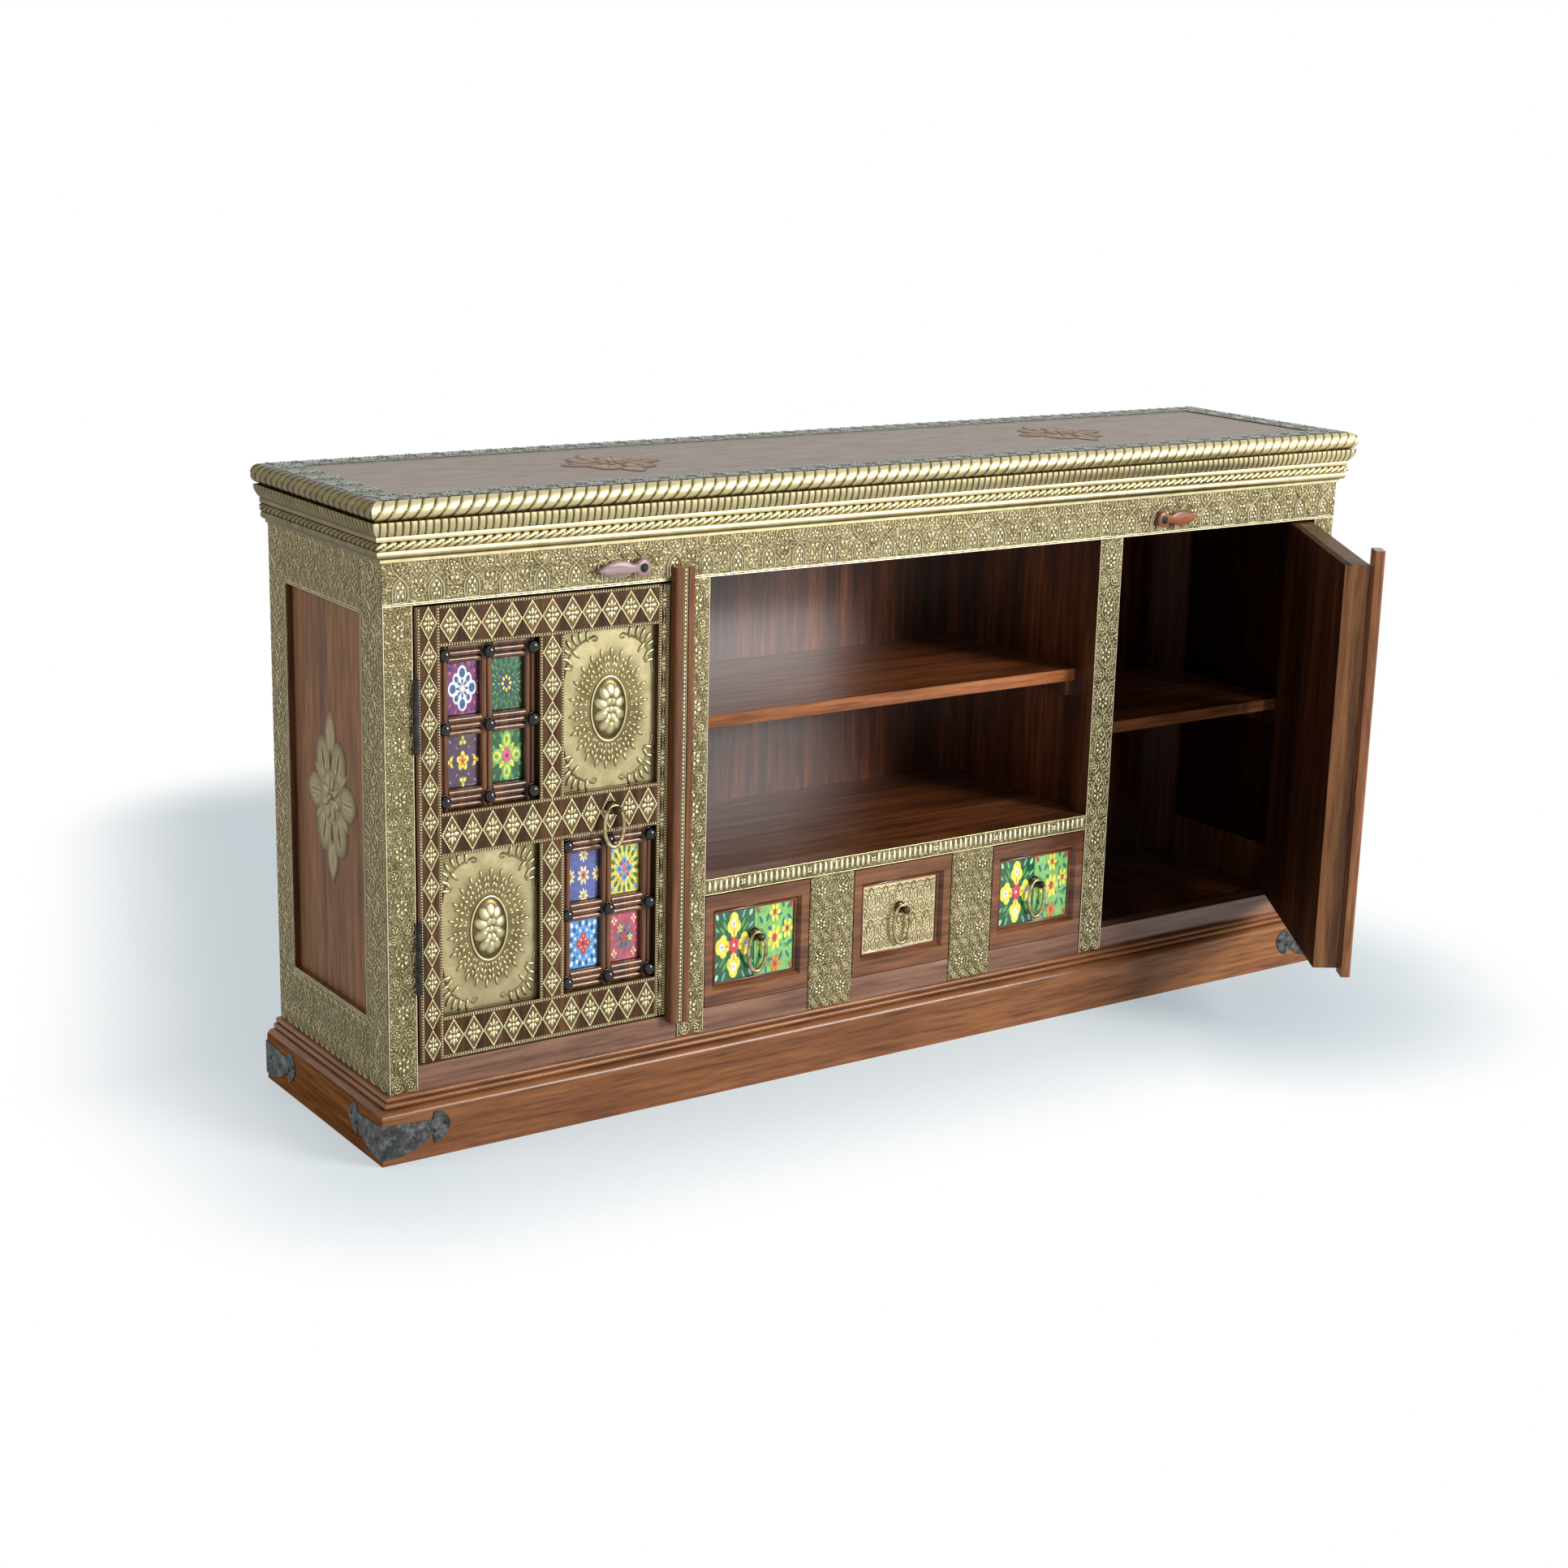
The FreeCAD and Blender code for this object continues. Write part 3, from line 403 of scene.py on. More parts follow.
def blackLacquer(name, tones):
    finish, shader = newFinish(name, {
        "Coat Weight": 1.0, "Coat IOR": 1.45, "Coat Roughness": 0.09, "Specular IOR Level": 0.1})
    rubbed = noise(finish, 160, 3)
    colour = ramp(finish, rubbed, (0.4, 0.7), tones)
    return dress(finish, shader, colour, between(finish, rubbed, 0.12, 0.3), rubbed, 0.05, 0.2)


def paintedGlaze(name, tone):
    finish, shader = newFinish(name, {"Coat Weight": 0.7})
    pooled = noise(finish, 130, 4, 0.6)
    deep = tuple(v * 0.62 for v in shade(*tone)[:3]) + (1,)
    return dress(finish, shader, ramp(finish, pooled, (0.32, 0.6), (deep, tone)), 0.2, pooled, 0.12, 0.3)


def unpolishedAndShaded(finish, how, edge, tone):  # unpolished, and darkened by a tone as painted shade, inside or outside a distance from the cabinet's middle
    shader = finish.node_tree.nodes["Principled BSDF"]
    colour = shader.inputs["Base Color"].links[0].from_socket
    place = addNode(finish, "ShaderNodeSeparateXYZ", {"Vector": laidOut(finish)})
    unpolishedShadedZone = sums(finish, how, sums(finish, "ABSOLUTE", place.outputs["X"], 0), edge * mm)
    feed(finish, shader.inputs["Base Color"], blended(finish, unpolishedShadedZone, colour, shade(*tone), "MULTIPLY"))
    for key in ("Coat Weight", "Specular IOR Level"):
        socket = shader.inputs[key]
        feed(finish, socket, between(finish, unpolishedShadedZone, socket.default_value, 0.0))


embossed = {  # roughness, and tones from the hollows to the crests
    "agedBrass": ((0.3, 0.5), (66, 57, 34), (120, 109, 76), (210, 200, 160), (250, 244, 218)),
    "brightBrass": ((0.36, 0.52), (34, 25, 10), (82, 70, 38), (150, 137, 94), (206, 194, 152)),
    "panelBrass": ((0.3, 0.46), (50, 40, 18), (112, 99, 62), (180, 169, 127), (232, 222, 184)),
    "diamondBrass": ((0.3, 0.5), (54, 43, 23), (116, 102, 66), (190, 176, 132), (244, 234, 198)),
    # brass for the sides, its darker tones are painted shade
    "shadedSideBrass": ((0.4, 0.55), (50, 40, 24), (92, 80, 54), (122, 110, 79), (152, 140, 107)),
    "greyCrests": ((0.45, 0.6), (52, 56, 52), (96, 100, 94), (144, 147, 139), (194, 195, 184)),
    # rougher brass for the sides, its darker tones are painted shade
    "dullBrass": ((0.5, 0.64), (40, 33, 19), (84, 75, 51), (142, 132, 101), (192, 182, 148)),
    "bronzeLines": ((0.45, 0.6), (44, 32, 26), (86, 68, 56), (130, 108, 90), (166, 146, 124))}
beaten = {  # stipples to a metre, and tones
    "stippledBrass": (380, (44, 37, 20), (90, 81, 52), (124, 113, 79), (194, 183, 143)),
    "greyBrass": (300, (48, 52, 50), (84, 88, 84), (116, 120, 114), (162, 164, 154))}
mottled = {  # metallic, roughness and tones
    "pullBrass": (0.95, (0.24, 0.4), (106, 92, 60), (172, 156, 112), (226, 212, 170)),
    "pullBronze": (0.9, (0.26, 0.44), (28, 22, 16), (58, 48, 34), (104, 90, 62)),
    "blackIron": (0.75, (0.42, 0.65), (24, 24, 26), (46, 46, 48), (80, 76, 72)),
    "strapIron": (0.75, (0.42, 0.65), (36, 38, 39), (68, 70, 69), (112, 113, 110))}
woods = {  # the run of the grain, tones, and what differs from plain lacquer
    "plinthWood": ("level", (92, 54, 29), (117, 72, 40), (138, 89, 51), (166, 114, 71), {"coat": 0.2, "gloss": 0.18}),
    # greyish tones: partly the rail's own colour, partly a painted sheen
    "sillWood": ("x", (78, 48, 32), (114, 76, 55), (136, 98, 75), (166, 129, 105), {"coat": 0.5}),
    "railWood": ("level", (54, 28, 13), (96, 56, 30), (130, 81, 46), (176, 120, 75), {"coat": 0.6, "gloss": 0.2}),
    "mouldingWood": ("level", (46, 20, 9), (84, 42, 21), (118, 64, 34), (158, 96, 56), {"coat": 0.6, "gloss": 0.2}),
    "uprightWood": ("z", (48, 25, 13), (84, 47, 26), (116, 70, 40), (158, 104, 62), {}),
    # lighter tones as painted light on the lock edges of the doors
    "litEdgeWood": ("z", (78, 46, 24), (116, 74, 40), (142, 94, 53), (176, 124, 76), {"coat": 0.2, "gloss": 0.15}),
    "astragalWood": ("z", (66, 37, 19), (108, 65, 36), (142, 91, 53), (182, 127, 80), {"coat": 0.3, "gloss": 0.2}),
    "latticeWood": ("z", (50, 28, 14), (92, 55, 29), (132, 84, 47), (180, 125, 76),
                    {"rough": (0.2, 0.34), "coat": 0.5}),
    "panelWood": ("z", (66, 38, 19), (104, 66, 36), (130, 86, 48), (164, 115, 66), {"rough": (0.5, 0.7), "coat": 0.0}),
    "groundWood": ("z", (42, 26, 14), (66, 43, 25), (88, 59, 35), (116, 81, 50),
                   {"rough": (0.4, 0.6), "coat": 0.05, "gloss": 0.12}),
    "innerWood": ("z", (36, 14, 5), (86, 42, 18), (135, 74, 36), (184, 114, 64),
                  {"rough": (0.3, 0.5), "coat": 0.9, "polish": 1.66, "boards": 0.8, "gloss": 0.15, "haze": 0.22}),
    "shelfWood": ("x", (46, 21, 9), (90, 47, 22), (136, 79, 42), (188, 126, 76),
                  {"rough": (0.3, 0.5), "coat": 0.5, "polish": 1.3, "gloss": 0.15, "haze": 0.22}),
    "bayFloorWood": ("x", (46, 22, 10), (84, 45, 22), (122, 72, 39), (170, 114, 68),
                     {"rough": (0.35, 0.55), "polish": 1.3, "gloss": 0.12, "haze": 0.24}),
    # lighter tones as painted light on the front edges of the shelves
    "litShelfEdge": ("x", (88, 46, 22), (128, 75, 41), (156, 97, 57), (190, 130, 82), {"coat": 0.2, "gloss": 0.15}),
    "doorInside": ("z", (28, 10, 4), (48, 22, 9), (72, 38, 17), (106, 63, 33),
                   {"rough": (0.5, 0.7), "coat": 0.0, "boards": 0.6, "gloss": 0.05}),
    "topWood": ("x", (130, 114, 101), (143, 127, 114), (150, 134, 120), (159, 144, 130),
                {"rough": (0.4, 0.55), "coat": 0.05}),
    "mauveButton": ("x", (84, 62, 60), (124, 98, 96), (160, 134, 130), (196, 172, 168),
                    {"rough": (0.3, 0.5), "coat": 0.2}),
    "brownButton": ("x", (88, 46, 28), (136, 80, 52), (172, 110, 76), (206, 146, 108),
                    {"rough": (0.3, 0.5), "coat": 0.2})}

finishes = {"studBlack": blackLacquer("studBlack", ((6, 7, 8), (16, 17, 18)))}
for name, (rough, *tones) in embossed.items():
    finishes[name] = embossedBrass(name, rough, tones)
for name, (stipple, *tones) in beaten.items():
    finishes[name] = beatenBrass(name, stipple, tones)
for name, (metallic, rough, *tones) in mottled.items():
    finishes[name] = mottledMetal(name, metallic, rough, tones)
for name, (along, *tones, looks) in woods.items():
    finishes[name] = lacqueredWood(name, along, tones, **looks)
unpolishedAndShaded(finishes["panelWood"], "LESS_THAN", 748, (104, 84, 70))  # inner face of the side panels: unpolished, and darkened as painted shade inside the side bays
unpolishedAndShaded(finishes["plinthWood"], "GREATER_THAN", 779, (244, 246, 248))  # side boards of the plinth: unpolished, and a little darker as painted shade
print("finishes made")

coats = {  # the nodes that are kept as they are, by their finish
    "plinthWood": "plinth_boards", "strapIron": "plinth_corner_straps", "panelWood": "side_panels",
    "innerWood": "bottom_board partitions back_boards shelf_cleats drawer_runners",
    "uprightWood": "side_frames front_stiles drawer_dividers", "sillWood": "front_bottom_rail",
    "railWood": "frieze_rail open_bay_rail drawer_box", "stippledBrass": "brass_cladding", "topWood": "top_board",
    "greyBrass": "top_brass_border", "bayFloorWood": "open_bay_floor", "shelfWood": "middle_shelf side_bay_shelves",
    "blackIron": "hinge_frame_leaves hinge_pins turn_button_screws door_hinge_leaves", "groundWood": "door_frame",
    "doorInside": "door_back_boards", "latticeWood": "door_lattice_bars", "astragalWood": "door_astragal",
    "pullBronze": "door_ring_post drawer_ring_post"}
worn = {node: finish for finish, nodes in coats.items() for node in nodes.split()}
for nodeName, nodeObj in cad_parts.items():
    side, _, bare = nodeName.partition("_")
    made = worn.get(nodeName) or (worn.get(bare) if side in ("left", "right", "middle") else None)
    if made:
        nodeObj.data.materials.clear()
        nodeObj.data.materials.append(finishes[made])


# crown: carved runs along the front and both sides, mitred at the corners

crown = {
    "nosing": {"seat": 8.5, "middle": 788.5, "radius": 11.5, "pitch": 16.4, "slant": 0.62, "groove": 2.0,
               "hollow": 0.15, "rows": 12},
    "gadroon": {"low": 759, "high": 777, "inner": 10, "outer": 17, "pitch": 9.6, "groove": 1.5, "hollow": 0.2,
                "slant": 0.3, "swell": 2.6, "lip": 0.92, "rows": 9},
    "cable": {"seat": 6, "middle": 747.5, "radius": 5.5, "pitch": 12.2, "slant": 0.72, "groove": 2.0, "hollow": 0.3,
              "rows": 8},
    "plain": [  # out, up and shine
        (0, 728, 0.2), (3.2, 728, 0.9), (3.2, 731, 1.0), (3.4, 732.5, 0.2), (6.2, 733, 0.3), (8.4, 734.6, 0.6),
        (9.4, 737, 0.85), (9.4, 739.5, 0.95), (8.6, 741.6, 0.85), (6.4, 743, 0.4), (6, 743.2, 0.15), (6, 752.5, 0.15),
        (9.4, 753, 0.8), (10.4, 754, 1.0), (10.4, 758, 1.0), (9.8, 759, 0.4)],
    "stepsPerPitch": 10, "reach": 26, "backEnd": 161, "topEnd": 166,
    # the side runs are dimmed to 0.42 of the front: painted shade on the sides
    "rubbed": {"front": 1.0, "left": 0.42, "right": 0.42}}


def hollowAt(phase, width):  # 1 in the groove, 0 on the crest
    away = abs((phase % 1.0) - 0.5)
    return max(0.0, (away - 0.5 + width) / width) ** 1.4


def ropeAt(c, s, turn, twist):
    dip = hollowAt(s / c["pitch"] - c["slant"] * twist, c["hollow"])
    r = c["radius"] - c["groove"] * dip * math.cos(turn) ** 0.4
    return c["seat"] + r * math.cos(turn), c["middle"] + r * math.sin(turn), 1 - dip


def nosingShape(s, t):
    return ropeAt(crown["nosing"], s, math.pi * (t - 0.5), 2 * t - 1)


def cableShape(s, t):
    turn = math.pi * (t - 0.5)
    return ropeAt(crown["cable"], s, turn, math.sin(turn))


def gadroonShape(s, t):
    c = crown["gadroon"]
    if t > c["lip"]:
        return crown["nosing"]["seat"], c["high"], 0.2
    t = t / c["lip"]
    dip = hollowAt(s / c["pitch"] + c["slant"] * t, c["hollow"])
    swell = math.sin(math.pi * min(t, 1) * 0.86) * c["swell"]
    out = c["inner"] + (c["outer"] - c["inner"]) * t ** 0.8 + swell - c["groove"] * dip
    return out, c["low"] + (c["high"] - c["low"]) * t, 1 - dip


def plainShape(s, t):
    points = crown["plain"]
    return points[min(int(t * (len(points) - 1) + 0.5), len(points) - 1)]


def carvedRun(side, shape, pitch, across, backEnd):
    half, front, reach = cabinet["halfWidth"], cabinet["front"], crown["reach"]
    length = 2 * (half + reach) if side == "front" else backEnd - front + reach
    steps = max(1, round(length / pitch * crown["stepsPerPitch"])) if pitch else 1
    obj = fresh(bpy.ops.mesh.primitive_grid_add, x_subdivisions=steps, y_subdivisions=across, size=1)
    layer = obj.data.attributes.new("rise", "FLOAT", "POINT")
    for vert, cell in zip(obj.data.vertices, layer.data):
        s, t = (vert.co.x + 0.5) * length, vert.co.y + 0.5
        out, up, shine = shape(s, t)
        # the crests of the side runs are dimmed here: painted shade
        cell.value = shine * crown["rubbed"][side]
        places = {"front": (s - length / 2, front - out, up), "left": (-half - out, backEnd - s, up),
                  "right": (half + out, backEnd - length + s, up)}
        vert.co = places[side]
    obj.data.transform(sized(mm, mm, mm))
    mitres = {"front": [(-1, 1), (1, 1)], "left": [(-1, -1)], "right": [(1, -1)]}
    for sign, keep in mitres[side]:
        editAll(obj)
        corner = (sign * half * mm, front * mm, 0)
        bpy.ops.mesh.bisect(plane_co=corner, plane_no=(-sign * keep, -keep, 0), clear_inner=True)
        leaveEdit()
    if side != "front":  # the cut end at the back is closed
        editOnly(obj, "VERT", lambda vert: abs(vert.co.y - backEnd * mm) < 0.2 * mm)
        bpy.ops.mesh.edge_face_add()
        leaveEdit()
    return obj


def crownEnd(sign):  # closes the hollow behind the mouldings at the back
    s = 0 if sign < 0 else crown["backEnd"] - cabinet["front"] + crown["reach"]
    rows = crown["gadroon"]["rows"]
    outline = [(out, up) for out, up, shine in crown["plain"]]
    outline += [gadroonShape(s, k / rows)[:2] for k in range(rows + 1)] + [(0, crown["gadroon"]["high"])]
    cap = fresh(bpy.ops.mesh.primitive_circle_add, vertices=len(outline), radius=1, fill_type="NGON")
    for vert, (out, up) in zip(cap.data.vertices, outline):
        vert.co = (sign * (cabinet["halfWidth"] + out) * mm, crown["backEnd"] * mm, up * mm)
    cap.data.update()
    if cap.data.polygons[0].normal.y < 0:
        cap.data.flip_normals()
    return markRise(cap, 1, 0.4)


def makeCrown():
    fillets = {"pitch": 0, "rows": len(crown["plain"]) - 1}
    kinds = (("crownNosing", nosingShape, crown["nosing"], crown["topEnd"]),
             ("crownGadroon", gadroonShape, crown["gadroon"], crown["backEnd"]),
             ("crownCable", cableShape, crown["cable"], crown["backEnd"]),
             ("crownFillets", plainShape, fillets, crown["backEnd"]))
    for name, shape, c, backEnd in kinds:
        runs = [carvedRun(side, shape, c["pitch"], c["rows"], backEnd) for side in ("front", "left", "right")]
        if shape == plainShape:
            runs += [crownEnd(-1), crownEnd(1)]
        piece = smooth(joinAs(name, runs), 48)
        finishPiece(piece, "carcass", "brightBrass", ["crown_mouldings"])


makeCrown()
print("crown carved")


# raised brocade pattern on the brass

friezeCell = {"width": 46, "height": 48, "line": 1.6, "fine": 1.3, "columns": 33, "lift": 4, "edges": (0.9, 3.0),
              "border": 0.6}
stileCell = {"width": 40, "height": 70, "line": 1.55, "rows": 9, "edge": 0.9, "margin": 1.2, "outerShine": 0.82,
             "border": 0.7, "dividerGap": 1, "dividerColumns": 2, "dividerRows": 4}
sidePanel = {"front": -101, "back": 111, "low": 164, "high": 660, "face": 752, "margin": 5, "insets": (1.0, 4.2),
             "relief": 0.7, "frontRows": 8, "backRows": 9, "railColumns": 7, "border": 0.8}
topBorder = {"reach": 768.5, "near": -169.5, "far": 166, "face": 800, "depth": 36, "width": 42, "columns": 40,
             "rows": 5, "gap": 1, "border": 0.8}
pressed = {"from": 345, "to": 375, "top": 700, "face": -162.3}
trimmed = 0.3


def friezePattern():  # arches crossing above a flower, with a small flower between each two
    drop = dimmed(dome(7.2, 4.6, 1.3, taper=0.4), 0.86)
    small = dimmed(dome(5.2, 3.6, 1.1, taper=0.3), 0.78)
    dot = dimmed(dome(2.8, 2.8, 1.0), 0.6)
    half = friezeCell["width"] / 2
    arch = [(-9, -24), (-11, -13), (-8, -2), (0, 5), (7.5, 11), (11, 18), (11, 25)]
    inner = [(-5.6, -22), (-7, -13), (-5, -4), (0, 0.5)]
    cup = [(-9, -24), (-5, -22.5), (0, -24)]
    saucer = [(14.5, -12), (17.5, -19), (23, -21.5), (28.5, -19), (31.5, -12)]
    horn = [(16, 24), (14.5, 16), (17, 9), (22, 4)]
    slant = [(13, 5), (15.5, -1), (15, -7)]
    lines = [wire(points, friezeCell["line"]) for points in (arch, mirrored(arch))]
    lines += [wire(points, friezeCell["fine"]) for points in (
        inner, mirrored(inner), cup, mirrored(cup), saucer, horn, mirrored(horn, half), slant, mirrored(slant, half))]
    placed = [(line, at(0, 0)) for line in lines]
    placed += [(drop, at(s * 3.0, y, 90 + s * lean)) for s in (-1, 1) for y, lean in ((-6.5, -14), (-16.5, 12))]
    placed += [(drop, at(0, -11.5, 90)), (small, at(0, -2, 90)), (small, at(0, 20.5, 90))]
    placed += [(small, at(s * 2.6, 14, 90 - s * 10)) for s in (-1, 1)]
    placed += ringOf(small, 5, 3.5, 90, x=half, y=14.5) + ringOf(small, 3, 3.8, 30, x=half, y=-13)
    for shape, x, y, lean in ((drop, 3, 0, -25), (small, 9.5, 11, 30), (small, 8, -6, -30)):
        placed += [(shape, at(half + s * x, y, 90 + s * lean)) for s in (-1, 1)]
    spots = ((23, 14.5), (23, -6), (12, 1), (34, 1), (13, -22), (33, -22), (6.5, 21), (-6.5, 21), (18, -16), (28, -16),
             (23, 22), (-14, -16), (14, -16), (-10, 0), (10, 0), (4, 9), (-4, 9), (23, -23.5), (0, -22.5), (18, 20),
             (28, 20))
    placed += [(dot, at(x, y)) for x, y in spots]
    return assemble("friezeCell", placed)


def stilePattern():  # an onion over a large flower, a chevron and two small ringed flowers
    petal = dimmed(dome(7.4, 5.4, 1.35, 8, 4), 0.84)
    small = dimmed(dome(4.6, 3.4, 1.15), 0.84)
    seed = dimmed(dome(5.2, 3.0, 0.95), 0.8)
    core = dome(4.6, 6.2, 1.2, sides=4)
    dot = dimmed(dome(2.8, 2.8, 0.9), 0.7)
    ringX, ringY = 9.8, -26
    onion = [(0, 34.5), (-3.2, 29), (-6.6, 24), (-5.2, 18.5), (0, 13.5)]
    wing = [(-3.5, 31), (-8, 28), (-13.5, 28.5), (-19.5, 32)]
    chevron = [(-7, -8.5), (-3.5, -13.5), (0, -18), (3.5, -13.5), (7, -8.5)]
    curl = [(-19.5, 20), (-14.5, 22), (-11.5, 17.5), (-14.5, 14)]
    scroll = [(-19.5, -12), (-15, -9.5), (-12, -13), (-14.5, -16)]
    stalk = [(-7.5, 21), (-11.5, 12), (-10.5, 4), (-13, -3), (-9, -9)]
    frond = [(-19.5, 11), (-16, 6), (-18, 0), (-15, -4)]
    hoop = [(ringX + 8.2 * math.cos(a * math.pi / 5), ringY + 8.4 * math.sin(a * math.pi / 5)) for a in range(10)]
    lines = [dimmed(wire(points, r, curve is hoop), 0.92) for curve, r in (
        (onion, stileCell["line"]), (wing, 1.5), (curl, 1.4), (scroll, 1.4), (hoop, 1.35), (stalk, 1.2), (frond, 1.2))
        for points in (curve, mirrored(curve))]
    lines.append(dimmed(wire(chevron, 1.5), 0.92))
    placed = [(line, at(0, 0)) for line in lines] + [(core, at(0, 22)), (core, at(0, -11.5) @ sized(0.8, 0.7))]
    placed += ringOf(petal, 6, 6.4, 90, 1.12, y=2) + [(dot, at(0, 2))]
    for s in (-1, 1):
        placed += ringOf(small, 5, 3.3, 90, 1.1, x=s * ringX, y=ringY) + [(dot, at(s * ringX, ringY))]
        placed += [(seed, at(s * x, y, 90 - s * lean)) for x, y, lean in (
            (15, 10, 30), (17, -8, 20), (8, 10, 35), (17.5, 26, 60), (10.5, 25, -20))]
        placed += [(dot, at(s * x, y)) for x, y in (
            (18.5, 14), (18.5, 3), (18, -19), (3.2, -20.5), (2.6, 27), (8, 34), (17, -34.5))]
    return assemble("stileCell", placed)


def patterned(cell, side, across, up, out, columns, rows, relief=1.0):  # fills a strip of a face with the pattern
    width = (across[1] - across[0]) / columns
    height = (up[1] - up[0]) / rows
    fit = sized(width / cell["width"], height / cell["height"])
    patch = copyTo(cell["pattern"], at(width / 2, height / 2) @ fit)
    rowOf(patch, columns, (width, 0, 0))
    rowOf(patch, rows, (0, height, 0))
    editAll(patch)
    for axis, far in ((Vector((1, 0, 0)), columns * width), (Vector((0, 1, 0)), rows * height)):
        for place, sign in ((trimmed, -1), (far - trimmed, 1)):
            bpy.ops.mesh.select_all(action="SELECT")
            bpy.ops.mesh.bisect(plane_co=axis * place * mm, plane_no=axis * sign, clear_outer=True)
    leaveEdit()
    patch.data.transform(hung(side, across[0], up[0], out) @ sized(1, 1, relief))
    return patch


def edgeLine(side, ends, out, radius):
    line = wire(ends, radius, straight=True, facets=1)
    line.data.transform(hung(side, 0, 0, out))
    return line


def pressFlat(piece):  # where the astragals of the closed doors lie on the brass
    for vert in piece.data.vertices:
        if pressed["from"] < abs(vert.co.x) / mm < pressed["to"] and vert.co.z < pressed["top"] * mm:
            vert.co.y = max(vert.co.y, pressed["face"] * mm)


def friezeStrips():
    c = cabinet
    half, front = c["halfWidth"], -c["front"]
    up = (c["head"] + friezeCell["lift"], c["crownFoot"])
    strips = [patterned(friezeCell, "front", (-half, half), up, front, friezeCell["columns"], 1)]
    for edge in friezeCell["edges"]:
        up = c["head"] + edge
        strips.append(edgeLine("front", [(-half, up), (half, up)], front, friezeCell["border"]))
    return strips


def uprightStrips():
    c, margin, edge = cabinet, stileCell["margin"], stileCell["edge"]
    front, up = -c["front"], (c["plinthTop"], c["head"])
    strips = []
    for sign in (-1, 1):
        for a, b, shine in ((c["stileIn"], c["halfWidth"], stileCell["outerShine"]),
                            (c["mullionIn"], c["mullionOut"], 1.0)):
            across = sorted((sign * (a + margin), sign * (b - margin)))
            strips.append(dimmed(patterned(stileCell, "front", across, up, front, 1, stileCell["rows"]), shine))
            strips += [edgeLine("front", [(sign * x, z) for z in up], front, stileCell["border"])
                       for x in (a + edge, b - edge)]
        gap = stileCell["dividerGap"]
        across = sorted((sign * (c["dividerIn"] + gap), sign * (c["dividerOut"] - gap)))
        strips.append(patterned(stileCell, "front", across, (c["plinthTop"], c["drawerTop"]), front,
                                stileCell["dividerColumns"], stileCell["dividerRows"]))
    return strips


def sideStrips():
    c, p = cabinet, sidePanel
    half, margin = c["halfWidth"], p["margin"]
    front, back = p["front"] - margin, p["back"] + margin
    upright = (c["plinthTop"], c["crownFoot"])
    strips = []
    for side, flip in bothSides:
        for a, b, up, columns, rows in ((c["front"], front, upright, 1, p["frontRows"]),
                                        (back, c["back"], upright, 1, p["backRows"]),
                                        (front, back, (p["high"] + margin, c["crownFoot"]), p["railColumns"], 1),
                                        (front, back, (c["plinthTop"], p["low"] - margin), p["railColumns"], 1)):
            across = sorted((flip * a, flip * b))
            strips.append(patterned(stileCell, side, across, up, half, columns, rows, p["relief"]))
        for inset in p["insets"]:
            a, b, low, high = p["front"] - inset, p["back"] + inset, p["low"] - inset, p["high"] + inset
            for ends in ([(a, low), (b, low)], [(a, high), (b, high)], [(a, low), (a, high)], [(b, low), (b, high)]):
                strips.append(edgeLine(side, [(flip * y, z) for y, z in ends], half, p["border"]))
    return strips


def topStrips():
    t = topBorder
    reach, near, far, gap = t["reach"], t["near"] + t["depth"], t["far"] - t["depth"], t["gap"]
    strips = [patterned(friezeCell, "top", (-reach, reach), (low + gap, low + t["depth"] - gap), t["face"],
                        t["columns"], 1) for low in (t["near"], far)]
    x = reach - t["width"]
    for sign in (-1, 1):
        across = sorted((sign * (x + gap), sign * (reach - gap)))
        strips.append(patterned(stileCell, "top", across, (near, far), t["face"], 1, t["rows"]))
    field = [(-x, near), (x, near), (x, far), (-x, far)]
    return strips + [edgeLine("top", [field[i], field[(i + 1) % 4]], t["face"], t["border"]) for i in range(4)]


def makeBrocade():
    friezeCell["pattern"], stileCell["pattern"] = friezePattern(), stilePattern()
    for name, strips, finish in (("friezeBrocade", friezeStrips, "agedBrass"),
                                 ("uprightBrocade", uprightStrips, "agedBrass"),
                                 ("sideBrocade", sideStrips, "dullBrass"), ("topBrocade", topStrips, "greyCrests")):
        piece = joinAs(name, strips())
        pressFlat(piece)
        finishPiece(piece, "carcass", finish)
    putAway(friezeCell["pattern"])


makeBrocade()
print("brocade raised")


# ribbed rail under the open bay

ribbedRail = {"pitch": 8.6, "rib": (17, 6.4, 1.5), "bud": (5, 3.2, 1.1), "low": 263, "high": 285, "flowerEvery": 12,
              "edge": 1, "border": 0.6, "borderShine": 0.7}


def makeRibbedRail():
    r, half, front = ribbedRail, cabinet["mullionIn"], -cabinet["front"]
    rib, bud = dome(*r["rib"], sides=8), dome(*r["bud"])
    count = int(2 * half / r["pitch"])
    middle = (r["low"] + r["high"]) / 2
    placed = []
    for i in range(count):
        x = (i - (count - 1) / 2) * r["pitch"]
        if i % r["flowerEvery"] == r["flowerEvery"] // 2:
            placed += ringOf(bud, 4, 2.6, 45, x=x, y=middle)
        else:
            placed.append((rib, at(x, middle, 90)))
    rail = assemble("bayRailRibs", placed)
    rail.data.transform(hung("front", 0, 0, front))
    lines = [dimmed(edgeLine("front", [(-half, z), (half, z)], front, r["border"]), r["borderShine"])
             for z in (r["low"] + r["edge"], r["high"] - r["edge"])]
    finishPiece(joinAs("bayRailRibs", [rail] + lines), "carcass", "agedBrass")


makeRibbedRail()


# lotus flowers on the side panels and the top

lotus = {"width": 140, "height": 222, "topWidth": 141, "topDepth": 166, "topRise": 0.8, "topX": 367, "topY": -1.75,
         "topFace": 799}


